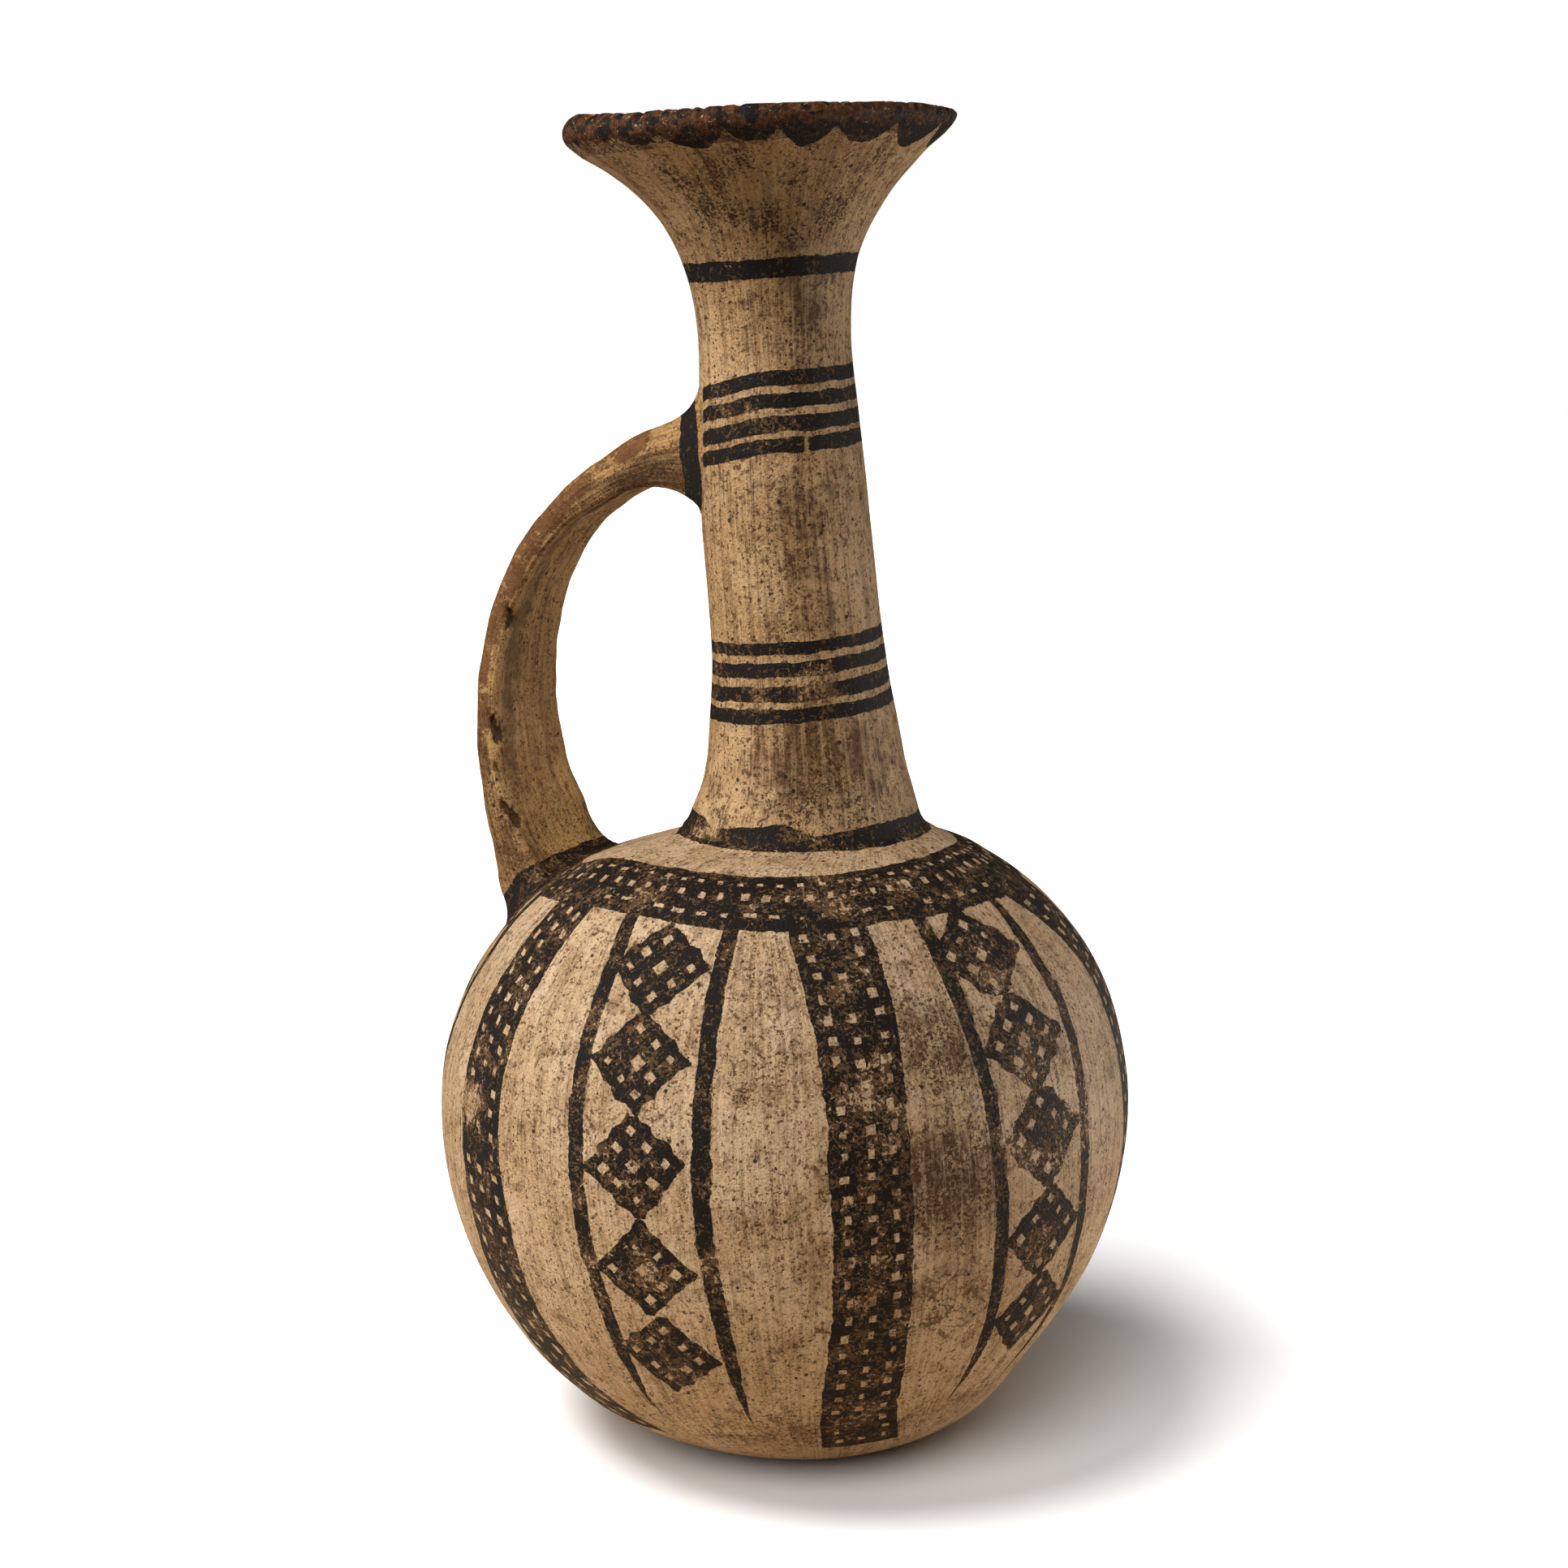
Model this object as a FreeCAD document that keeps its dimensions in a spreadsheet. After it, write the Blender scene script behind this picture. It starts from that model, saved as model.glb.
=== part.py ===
# Hand-built pottery jug: round body, long leaning neck, funnel mouth and strap handle.
# Millimetres, +Z up. The origin is the centre of the small flat that the jug rests on.
# The handle stands towards -X. The neck leans a little, as the potter left it.
import FreeCAD, Part
import math
import os
from FreeCAD import Vector
from Sketcher import Constraint

doc = FreeCAD.newDocument("PotteryJug")
sheet = doc.addObject("Spreadsheet::Sheet", "Sizes")

# Driving dimensions: name, value, meaning. Lengths are in mm and angles in degrees.
SIZES = [
    # body
    ("base_radius", 18, "radius of the flat that the jug rests on"),
    ("belly_radius", 65, "largest outer radius of the body"),
    ("belly_height", 64.9, "height of the largest radius"),
    ("heel_radius_share", 0.565, "place of the heel between the flat's radius and the belly's"),
    ("heel_height_share", 0.22, "height of the heel as a part of the belly's height"),
    ("shoulder_arc", 57, "radius of the shoulder's outline"),
    ("body_wall", 4.5, "wall of the body"),
    ("floor_extra", 1.5, "clay that the floor has beyond the wall"),
    ("body_seam", 59, "height of the seam between bowl and shoulder, on the outside"),
    ("seam_rise", 6, "how much higher that bevelled seam is on the inside"),
    # neck, mouth and lip, measured along the leaning axis
    ("neck_offset_x", 4.6, "neck's lower end, from the body's axis along X"),
    ("neck_offset_y", 2.5, "neck's lower end, from the body's axis along Y"),
    ("neck_lean", 4.35, "tilt of the neck's axis from upright"),
    ("lean_heading", 232.4, "direction that the neck leans to, from +X"),
    ("neck_insertion", 11, "how far the neck's foot is pushed through the shoulder"),
    ("bore_radius", 10, "hole through the neck"),
    ("neck_foot_radius", 18, "outer radius of the neck where it passes the shoulder"),
    ("neck_foot_run", 22, "length of the neck's foot"),
    ("neck_low_radius", 16.1, "outer radius of the neck above its foot"),
    ("neck_low_run", 19, "distance from the foot's end to that radius"),
    ("neck_mid_radius", 15.5, "outer radius of the neck below the handle"),
    ("neck_mid_run", 26, "distance from the radius before to that radius"),
    ("waist_radius", 13.5, "outer radius at the neck's narrowest place"),
    ("waist_run", 31.5, "distance from the radius before to the narrowest place"),
    ("flare_arc", 39, "radius of the funnel's outline"),
    ("flare_angle", 50, "angle at which the funnel's outline becomes straight"),
    ("mouth_seam_angle", 14, "place of the seam between neck and funnel, on the outside"),
    ("mouth_seam_turn", 5, "how much further round that bevelled seam is on the inside"),
    ("funnel_straight", 6.3, "straight stretch of the funnel below the lip"),
    ("lip_length", 3.1, "straight stretch of the lip"),
    ("lip_thickness", 4.4, "thickness of the rounded lip"),
    ("lip_round_share", 0.56, "rounding of the lip's edge as a part of its thickness"),
    # clay smoothed round the neck's root
    ("collar_drop", 7.5, "how far that clay's blank reaches down into the shoulder"),
    ("collar_climb", 11, "how far that clay climbs the neck"),
    ("collar_spread", 11, "how far its blank runs out from the neck"),
    # handle
    ("handle_drop", 20.5, "distance of the handle's root below the neck's narrowest place"),
    ("handle_reach", 58.4, "largest distance of the strap's middle line from the jug's axis"),
    ("handle_fall", 48.7, "how far the place of largest reach lies below the root"),
    ("foot_inset", 15.5, "how far the handle's foot stands inside the belly's radius"),
    ("strap_width", 19, "width of the strap, about halfway"),
    ("strap_thickness", 8.8, "thickness of the strap, about halfway"),
    ("strap_corner_share", 0.38, "rounding of the strap's edges as a part of its thickness"),
    ("tongue_width", 15, "width of the tongue that goes through the shoulder"),
    ("tongue_thickness", 6.5, "thickness of that tongue"),
    ("tongue_corner", 2, "rounding of the tongue's edges"),
    ("tongue_root", 5, "length of the tongue's root, within the strap"),
    ("tongue_reach", 11, "length of the tongue beyond the shoulder's surface"),
    # clay smoothed round the handle's two ends
    ("root_spread", 2.2, "how much wider than the strap it is at the neck"),
    ("foot_spread", 2.6, "how much wider than the strap it is at the shoulder"),
    ("foot_spread_inside", 6, "how much wider than the strap its blank is inside the body"),
    ("smear_edge", 0.7, "thickness of its feathered edge"),
    # a blank runs past what trims it by this much
    ("overrun", 8, "length that a blank has to spare"),
]

# Worked-out sizes: name and formula. A formula may use the names above it.
DERIVED = [
    # The body's outline has two arcs below the belly, tangent at the heel, and one above it.
    ("heel_radius", "base_radius + heel_radius_share * (belly_radius - base_radius)"),
    ("heel_height", "heel_height_share * belly_height"),
    ("bowl_width", "belly_radius - heel_radius"),
    ("bowl_depth", "belly_height - heel_height"),
    ("bowl_arc", "(bowl_width ^ 2 + bowl_depth ^ 2) / (2 * bowl_width)"),
    ("heel_out_share", "(bowl_arc - bowl_width) / bowl_arc"),
    ("heel_down_share", "bowl_depth / bowl_arc"),
    ("heel_width", "heel_radius - base_radius"),
    ("heel_arc", "(heel_width ^ 2 + heel_height ^ 2)"
                 " / (2 * (heel_width * heel_out_share - heel_height * heel_down_share))"),
    ("heel_centre_radius", "heel_radius - heel_arc * heel_out_share"),
    ("heel_centre_height", "heel_height + heel_arc * heel_down_share"),
    ("inner_bowl_arc", "bowl_arc - body_wall"),
    ("inner_heel_arc", "heel_arc - body_wall"),
    ("inner_belly_radius", "belly_radius - body_wall"),
    ("inner_heel_radius", "heel_radius - body_wall * heel_out_share"),
    ("inner_heel_height", "heel_height + body_wall * heel_down_share"),
    ("floor_height", "body_wall + floor_extra"),
    ("floor_radius", "heel_centre_radius"
                     " + sqrt(inner_heel_arc ^ 2 - (heel_centre_height - floor_height) ^ 2)"),
    ("inner_shoulder_arc", "shoulder_arc - body_wall"),
    ("shoulder_centre_radius", "belly_radius - shoulder_arc"),
    ("shoulder_top", "belly_height + sqrt(shoulder_arc ^ 2 - shoulder_centre_radius ^ 2)"),
    ("inner_shoulder_top", "belly_height"
                           " + sqrt(inner_shoulder_arc ^ 2 - shoulder_centre_radius ^ 2)"),
    # The bevelled seam of the body runs on in one line past both faces of the wall.
    ("seam_slope_share", "seam_rise / body_wall"),
    ("seam_outside", "body_seam - overrun * seam_slope_share"),
    ("seam_inside", "body_seam + (body_wall + overrun) * seam_slope_share"),
    # Distances along the neck's leaning axis, from its foot.
    ("neck_root_height", "belly_height"
                         " + sqrt(shoulder_arc ^ 2 - (neck_foot_radius - shoulder_centre_radius) ^ 2)"),
    ("neck_foot_height", "neck_root_height - neck_insertion"),
    ("neck_low", "neck_foot_run + neck_low_run"),
    ("neck_mid", "neck_low + neck_mid_run"),
    ("waist", "neck_mid + waist_run"),
    ("neck_wall", "waist_radius - bore_radius"),
    ("flare_centre", "waist_radius + flare_arc"),
    ("inner_flare_arc", "flare_arc + neck_wall"),
    ("inner_seam_angle", "mouth_seam_angle + mouth_seam_turn"),
    ("seam_radius", "flare_centre - flare_arc * cos(mouth_seam_angle)"),
    ("seam_height", "waist + flare_arc * sin(mouth_seam_angle)"),
    ("inner_seam_radius", "flare_centre - inner_flare_arc * cos(inner_seam_angle)"),
    ("inner_seam_height", "waist + inner_flare_arc * sin(inner_seam_angle)"),
    ("funnel_radius", "flare_centre - flare_arc * cos(flare_angle)"),
    ("funnel_height", "waist + flare_arc * sin(flare_angle)"),
    ("inner_funnel_radius", "flare_centre - inner_flare_arc * cos(flare_angle)"),
    ("inner_funnel_height", "waist + inner_flare_arc * sin(flare_angle)"),
    ("lip_seam_radius", "funnel_radius + funnel_straight * sin(flare_angle)"),
    ("lip_seam_height", "funnel_height + funnel_straight * cos(flare_angle)"),
    ("inner_lip_seam_radius", "lip_seam_radius - neck_wall * cos(flare_angle)"),
    ("inner_lip_seam_height", "lip_seam_height + neck_wall * sin(flare_angle)"),
    ("lip_radius", "lip_seam_radius + lip_length * sin(flare_angle)"),
    ("lip_height", "lip_seam_height + lip_length * cos(flare_angle)"),
    ("inner_lip_radius", "lip_radius - lip_thickness * cos(flare_angle)"),
    ("inner_lip_height", "lip_height + lip_thickness * sin(flare_angle)"),
    ("lip_round", "lip_thickness * lip_round_share"),
    # The collar round the neck's root starts below the shoulder's surface.
    ("collar_start", "neck_insertion - collar_drop"),
    ("collar_height", "collar_drop + collar_climb"),
    ("collar_edge_radius", "neck_foot_radius + smear_edge"),
    # The handle runs from the neck's axis to the shoulder's surface.
    ("root_length", "waist - handle_drop"),
    ("root_x", "neck_offset_x + root_length * sin(neck_lean) * cos(lean_heading)"),
    ("root_y", "neck_offset_y + root_length * sin(neck_lean) * sin(lean_heading)"),
    ("root_z", "neck_foot_height + root_length * cos(neck_lean)"),
    ("foot_distance", "belly_radius - foot_inset"),
    ("foot_z", "belly_height + sqrt(shoulder_arc ^ 2 - (foot_distance - shoulder_centre_radius) ^ 2)"),
    ("reach_z", "root_z - handle_fall"),
]

# Rings of the collar round the neck's root: place up, spread and tilt, all as shares.
COLLAR_SHARES = [(0, 1, 0), (0.35, 0.26, 0.35), (0.68, 0.06, 0.7), (1, 0, 1)]

# Stations of the strap: place across, place up, width and thickness, all as shares.
# In the upper list the places run from the neck's axis (0) to the largest reach (1),
# and from that reach (0) up to the root (1). The first station is on the neck's axis.
UPPER_STRAP_SHARES = [
    (0, 1, 0.84, 1.12),
    (0.25, 1, 0.85, 1.08),
    (0.415, 0.97, 0.87, 0.95),
    (0.59, 0.875, 0.89, 0.75),
    (0.763, 0.725, 0.93, 0.68),
    (0.885, 0.53, 0.97, 0.79),
    (0.97, 0.275, 1, 0.95),
    (1, 0, 1.06, 1),
]
# In the lower list they run from the handle's foot (0) to the largest reach (1).
# The last station is inside the body.
LOWER_STRAP_SHARES = [
    (0.87, 0.62, 1.15, 1.02),
    (0.5, 0.3, 1.24, 1.07),
    (0, 0, 1.33, 1.2),
    (-0.84, -0.34, 1.37, 1.3),
]
FOOT_STATION = len(UPPER_STRAP_SHARES) + 2

for row, (alias, value, meaning) in enumerate(SIZES, start=1):
    sheet.set(f"A{row}", alias)
    sheet.set(f"B{row}", str(value))
    sheet.set(f"C{row}", meaning)
    sheet.setAlias(f"B{row}", alias)
doc.recompute()
aliases = {alias for alias, _, _ in SIZES}
derived_names = {name for name, _ in DERIVED}
derived = doc.addObject("App::VarSet", "Derived")


def expression(formula):
    """Writes the sheet's or the variable set's name before each name in a formula."""
    words = []
    word = ""
    for letter in formula + " ":
        if letter.isalnum() or letter == "_":
            word += letter
            continue
        if word in aliases:
            word = f"Sizes.{word}"
        elif word in derived_names:
            word = f"Derived.{word}"
        words += [word, letter]
        word = ""
    return "".join(words).strip()


def value_of(formula):
    found = sheet.evalExpression(expression(formula))
    return float(getattr(found, "Value", found))


def bind(target, **formulas):
    """Binds properties to formulas. A double underscore stands for a dot."""
    for path, formula in formulas.items():
        target.setExpression(path.replace("__", "."), expression(formula))
    doc.recompute()


for name, formula in DERIVED:
    derived.addProperty("App::PropertyFloat", name, "Derived", formula)
    derived.setExpression(name, expression(formula))
doc.recompute()


# Sketches

def arc_between(start, end, radius, turn):
    """The shorter arc from start to end. turn is +1 where it bends to the left, -1 to the right."""
    chord = end - start
    half = chord.Length / 2
    rise = math.sqrt(max(radius ** 2 - half ** 2, 0))
    left = Vector(-chord.y, chord.x, 0).normalize()
    centre = (start + end) / 2 + left * rise * turn
    first, last = (start, end) if turn > 0 else (end, start)
    circle = Part.Circle(centre, Vector(0, 0, 1), radius)
    return Part.ArcOfCircle(circle, circle.parameter(first), circle.parameter(last))


def draw_outline(sketch, points, arcs):
    """Draws a closed outline. points are pairs of formulas for right and up.
    arcs maps a side's number to its radius formula and its turn."""
    places = [Vector(value_of(right), value_of(up), 0) for right, up in points]
    count = len(points)
    ends = []
    for side, start in enumerate(places):
        end = places[(side + 1) % count]
        if side in arcs:
            formula, turn = arcs[side]
            sketch.addGeometry(arc_between(start, end, value_of(formula), turn), False)
            ends.append((1, 2) if turn > 0 else (2, 1))
        else:
            sketch.addGeometry(Part.LineSegment(start, end), False)
            ends.append((1, 2))
    for side in range(count):
        after = (side + 1) % count
        sketch.addConstraint(Constraint("Coincident", side, ends[side][1], after, ends[after][0]))
    for side, (right, up) in enumerate(points):
        corner = ends[side][0]
        for kind, axis, formula in (("DistanceX", -2, right), ("DistanceY", -1, up)):
            if formula == "0":
                sketch.addConstraint(Constraint("PointOnObject", side, corner, axis))
                continue
            number = sketch.addConstraint(Constraint(kind, -1, 1, side, corner, value_of(formula)))
            sketch.setExpression(f"Constraints[{number}]", expression(formula))
    for side, (formula, _) in arcs.items():
        number = sketch.addConstraint(Constraint("Radius", side, value_of(formula)))
        sketch.setExpression(f"Constraints[{number}]", expression(formula))


def body_sketch(body, role, points, arcs):
    plane = next(o for o in body.Origin.OriginFeatures if o.Role == role)
    sketch = body.newObject("Sketcher::SketchObject", body.Name + "_outline")
    sketch.AttachmentSupport = [(plane, "")]
    sketch.MapMode = "FlatFace"
    draw_outline(sketch, points, arcs)
    return sketch


def revolved(name, points, arcs):
    """A piece turned round its own Z axis. points are pairs of radius and height."""
    body = doc.addObject("PartDesign::Body", name)
    sketch = body_sketch(body, "XZ_Plane", points, arcs)
    turned = body.newObject("PartDesign::Revolution", name + "_turned")
    turned.Profile = sketch
    turned.ReferenceAxis = (sketch, ["V_Axis"])
    turned.Angle = 360
    doc.recompute()
    return body


def lean(body):
    """Sets a piece on the neck's leaning axis."""
    bind(
        body,
        Placement__Base__x="neck_offset_x",
        Placement__Base__y="neck_offset_y",
        Placement__Base__z="neck_foot_height",
        Placement__Rotation__Axis__x="-sin(lean_heading)",
        Placement__Rotation__Axis__y="cos(lean_heading)",
        Placement__Rotation__Axis__z="0",
        Placement__Rotation__Angle="neck_lean",
    )
    return body


def boolean(kind, name, base, tool):
    made = doc.addObject(kind, name)
    made.Base = base
    made.Tool = tool
    doc.recompute()
    return made


def cut(name, base, *tools):
    """Base without each of the tools."""
    made = base
    for number, tool in enumerate(tools, start=1):
        last = number == len(tools)
        made = boolean("Part::Cut", name if last else f"{name}_cut_{number}", made, tool)
    return made


def loft(name, sections, straight):
    made = doc.addObject("Part::Loft", name)
    made.Sections = sections
    made.Solid = True
    made.Ruled = straight
    doc.recompute()
    return made


# Body wall

outer_wall = [
    ("base_radius", "0"),
    ("heel_radius", "heel_height"),
    ("belly_radius", "belly_height"),
    ("0", "shoulder_top"),
]
outer_wall_arcs = {1: ("heel_arc", 1), 2: ("bowl_arc", 1), 3: ("shoulder_arc", 1)}
inner_wall = [
    ("0", "inner_shoulder_top"),
    ("inner_belly_radius", "belly_height"),
    ("inner_heel_radius", "inner_heel_height"),
    ("floor_radius", "floor_height"),
    ("0", "floor_height"),
]
inner_wall_arcs = {5: ("inner_shoulder_arc", -1), 6: ("inner_bowl_arc", -1), 7: ("inner_heel_arc", -1)}

body_wall = revolved(
    "body_wall_blank", [("0", "0")] + outer_wall + inner_wall, {**outer_wall_arcs, **inner_wall_arcs}
)
body_filled = revolved("body_filled_blank", [("0", "0")] + outer_wall, outer_wall_arcs)

# Everything under this blank's bevelled edge belongs to the bowl.
below_seam = revolved(
    "below_seam_blank",
    [
        ("0", "0"),
        ("belly_radius + overrun", "0"),
        ("belly_radius + overrun", "seam_outside"),
        ("inner_belly_radius - overrun", "seam_inside"),
        ("0", "seam_inside"),
    ],
    {},
)
lower_body = boolean("Part::Common", "lower_body", body_wall, below_seam)
shoulder_blank = cut("shoulder_blank", body_wall, below_seam)

# Neck, funnel and lip

neck_outside = [
    ("neck_foot_radius", "0"),
    ("neck_foot_radius", "neck_foot_run"),
    ("neck_low_radius", "neck_low"),
    ("neck_mid_radius", "neck_mid"),
    ("waist_radius", "waist"),
    ("seam_radius", "seam_height"),
]
neck = lean(
    revolved(
        "neck",
        [("bore_radius", "0")]
        + neck_outside
        + [("inner_seam_radius", "inner_seam_height"), ("bore_radius", "waist")],
        {5: ("flare_arc", -1), 7: ("inner_flare_arc", 1)},
    )
)
neck_filled = lean(
    revolved(
        "neck_filled_blank",
        [("0", "0")] + neck_outside + [("0", "seam_height")],
        {5: ("flare_arc", -1)},
    )
)
mouth_funnel = lean(
    revolved(
        "mouth_funnel",
        [
            ("seam_radius", "seam_height"),
            ("funnel_radius", "funnel_height"),
            ("lip_seam_radius", "lip_seam_height"),
            ("inner_lip_seam_radius", "inner_lip_seam_height"),
            ("inner_funnel_radius", "inner_funnel_height"),
            ("inner_seam_radius", "inner_seam_height"),
        ],
        {0: ("flare_arc", -1), 4: ("inner_flare_arc", 1)},
    )
)
rim_lip = lean(
    revolved(
        "rim_lip",
        [
            ("lip_seam_radius", "lip_seam_height"),
            ("lip_radius", "lip_height"),
            ("inner_lip_radius", "inner_lip_height"),
            ("inner_lip_seam_radius", "inner_lip_seam_height"),
        ],
        {1: ("lip_round", 1)},
    )
)

# Clay smoothed round the neck's root


def collar_ring(number, up, out, tilt):
    """One ring of the collar, which turns from the shoulder's plane to the neck's."""
    ring = doc.addObject("Part::Circle", f"collar_ring_{number}")
    along = f"(collar_start + {up} * collar_height)"
    bind(
        ring,
        Radius=f"collar_edge_radius + {out} * collar_spread",
        Placement__Base__x=f"neck_offset_x + {along} * sin(neck_lean) * cos(lean_heading)",
        Placement__Base__y=f"neck_offset_y + {along} * sin(neck_lean) * sin(lean_heading)",
        Placement__Base__z=f"neck_foot_height + {along} * cos(neck_lean)",
        Placement__Rotation__Axis__x="-sin(lean_heading)",
        Placement__Rotation__Axis__y="cos(lean_heading)",
        Placement__Rotation__Axis__z="0",
        Placement__Rotation__Angle=f"{tilt} * neck_lean",
    )
    return ring


collar_rings = [collar_ring(number, *shares) for number, shares in enumerate(COLLAR_SHARES)]
collar_blank = loft("neck_collar_blank", collar_rings, False)
neck_collar = cut("neck_collar", collar_blank, body_filled, neck_filled)

# Handle

station_places = [
    (f"root_x - {across} * (handle_reach + root_x)", f"reach_z + {up} * handle_fall")
    for across, up, _, _ in UPPER_STRAP_SHARES
]
station_places += [
    (
        f"-(foot_distance + {across} * (handle_reach - foot_distance))",
        f"foot_z + {up} * (reach_z - foot_z)",
    )
    for across, up, _, _ in LOWER_STRAP_SHARES
]
station_widths = [f"{wide} * strap_width" for _, _, wide, _ in UPPER_STRAP_SHARES + LOWER_STRAP_SHARES]
station_depths = [f"{deep} * strap_thickness" for _, _, _, deep in UPPER_STRAP_SHARES + LOWER_STRAP_SHARES]


def station_turn(number):
    """Angle of the strap's middle line from upright, from the stations on either side."""
    before = station_places[max(number - 1, 0)]
    after = station_places[min(number + 1, len(station_places) - 1)]
    return f"atan2(({after[0]}) - ({before[0]}); ({after[1]}) - ({before[1]}))"


def rounded_rectangle(thickness, width, corner):
    """Points and arcs of a rounded rectangle, its thickness to the right and its width up."""
    out, side = f"({thickness}) / 2", f"({width}) / 2"
    near_out, near_side = f"({out} - {corner})", f"({side} - {corner})"
    points = [
        (near_out, f"-({side})"), (out, f"-{near_side}"),
        (out, near_side), (near_out, side),
        (f"-{near_out}", side), (f"-({out})", near_side),
        (f"-({out})", f"-{near_side}"), (f"-{near_out}", f"-({side})"),
    ]
    return points, {number: (corner, 1) for number in (0, 2, 4, 6)}


def stand_at_station(target, number, back="0"):
    """Sets a piece square to the strap's middle line, moved back along it."""
    x, z = station_places[number]
    turn = station_turn(number)
    bind(
        target,
        Placement__Base__x=f"{x} - {back} * sin({turn})",
        Placement__Base__y=f"root_y * (foot_distance + {x}) / (foot_distance + root_x)",
        Placement__Base__z=f"{z} - {back} * cos({turn})",
        Placement__Rotation__Axis__x="0",
        Placement__Rotation__Axis__y="1",
        Placement__Rotation__Axis__z="0",
        Placement__Rotation__Angle=turn,
    )


def section(name, number, spread="0"):
    """The strap's outline at a station, wider all round by spread."""
    sketch = doc.addObject("Sketcher::SketchObject", f"{name}_{number}")
    thickness = f"{station_depths[number]} + 2 * {spread}"
    width = f"{station_widths[number]} + 2 * {spread}"
    corner = f"(strap_corner_share * {station_depths[number]} + {spread})"
    draw_outline(sketch, *rounded_rectangle(thickness, width, corner))
    stand_at_station(sketch, number)
    return sketch


strap_blank = loft(
    "strap_blank", [section("strap_section", n) for n in range(len(station_places))], False
)
strap = cut("strap", strap_blank, neck_filled, body_filled)

tongue = doc.addObject("PartDesign::Body", "tongue_blank")
tongue_pad = tongue.newObject("PartDesign::Pad", "tongue_pad")
tongue_pad.Profile = body_sketch(
    tongue, "XY_Plane", *rounded_rectangle("tongue_thickness", "tongue_width", "tongue_corner")
)
bind(tongue_pad, Length="tongue_root + tongue_reach")
stand_at_station(tongue, FOOT_STATION, "tongue_root")
strap_handle = boolean("Part::Fuse", "strap_handle", strap, tongue)

upper_body = cut("upper_body", shoulder_blank, neck_filled, tongue)

# Clay smoothed round the handle's ends

root_blank = loft(
    "handle_root_collar_blank",
    [
        section("root_section", 0, "root_spread"),
        section("root_section", 1, "root_spread"),
        section("root_section", 2, "smear_edge"),
    ],
    True,
)
handle_root_collar = cut("handle_root_collar", root_blank, neck_filled, strap_blank)
foot_blank = loft(
    "handle_foot_collar_blank",
    [
        section("foot_section", FOOT_STATION - 1, "smear_edge"),
        section("foot_section", FOOT_STATION, "foot_spread"),
        section("foot_section", FOOT_STATION + 1, "foot_spread_inside"),
    ],
    True,
)
handle_foot_collar = cut("handle_foot_collar", foot_blank, body_filled, strap_blank)

# Checks and files

NODES = [
    lower_body,
    upper_body,
    neck,
    mouth_funnel,
    rim_lip,
    neck_collar,
    strap_handle,
    handle_root_collar,
    handle_foot_collar,
]

doc.recompute()
for item in doc.Objects:
    if "Invalid" in item.State or "Error" in item.State:
        raise RuntimeError(f"{item.Label} failed: {item.State}")
for node in NODES:
    if node.Shape.isNull() or not node.Shape.isValid():
        raise RuntimeError(f"{node.Label} has no valid shape")

os.makedirs("parts", exist_ok=True)
for node in NODES:
    shape = node.Shape
    shape.exportStep(f"parts/{node.Label}.step")
    print(f"{node.Label}: {len(shape.Solids)} solid, {shape.Volume / 1000:.2f} cm3")
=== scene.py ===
import math
import random

import bmesh
import bpy
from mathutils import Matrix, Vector, noise
from mathutils.bvhtree import BVHTree
from mathutils.kdtree import KDTree


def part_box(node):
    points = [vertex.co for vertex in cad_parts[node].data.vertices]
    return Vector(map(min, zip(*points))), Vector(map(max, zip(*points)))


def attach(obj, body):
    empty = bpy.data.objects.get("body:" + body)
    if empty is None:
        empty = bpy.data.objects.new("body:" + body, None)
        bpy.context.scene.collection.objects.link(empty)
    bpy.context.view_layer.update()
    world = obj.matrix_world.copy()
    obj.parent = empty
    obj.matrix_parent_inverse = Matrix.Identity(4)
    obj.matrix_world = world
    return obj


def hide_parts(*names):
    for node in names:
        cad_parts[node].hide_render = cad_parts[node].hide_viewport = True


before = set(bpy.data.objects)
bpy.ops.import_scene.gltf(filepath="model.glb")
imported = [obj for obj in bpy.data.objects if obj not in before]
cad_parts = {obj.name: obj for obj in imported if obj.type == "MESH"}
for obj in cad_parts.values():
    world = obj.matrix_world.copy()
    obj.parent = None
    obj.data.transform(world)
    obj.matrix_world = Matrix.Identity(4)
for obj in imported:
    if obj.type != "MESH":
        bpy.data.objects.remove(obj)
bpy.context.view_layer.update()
mm = 0.001


# the picture's viewpoint: azimuth from -Y towards +X, and tilt below level
viewpoint = {
    "azimuth": 25.0,
    "tilt": 9.94,
    "distance": 481.0,
    "sideStep": -0.195,
    "height": 209.965,
    "lens": 59.67,
    "sensor": 36.0,
}


def addCamera():
    turn = math.radians(viewpoint["azimuth"])
    back = viewpoint["distance"] * mm
    side = viewpoint["sideStep"] * mm
    data = bpy.data.cameras.new("photoCamera")
    data.lens = viewpoint["lens"]
    data.sensor_width = viewpoint["sensor"]
    data.clip_start = 0.01
    camera = bpy.data.objects.new("photoCamera", data)
    camera.location = (
        back * math.sin(turn) + side * math.cos(turn),
        -back * math.cos(turn) + side * math.sin(turn),
        viewpoint["height"] * mm,
    )
    camera.rotation_euler = (math.radians(90.0 - viewpoint["tilt"]), 0.0, turn)
    bpy.context.scene.collection.objects.link(camera)
    bpy.context.scene.camera = camera


# small helpers for outlines, all in millimetres

def smoothStep(low, high, value):
    share = min(max((value - low) / (high - low), 0.0), 1.0)
    return share * share * (3.0 - 2.0 * share)


# reads a given table of (place, value, ...) rows, with straight runs between them
def fromTable(table, place, column=1):
    if place <= table[0][0]:
        return table[0][column]
    for before, after in zip(table, table[1:]):
        if place <= after[0]:
            share = (place - before[0]) / (after[0] - before[0])
            return before[column] + share * (after[column] - before[column])
    return table[-1][column]


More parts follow.
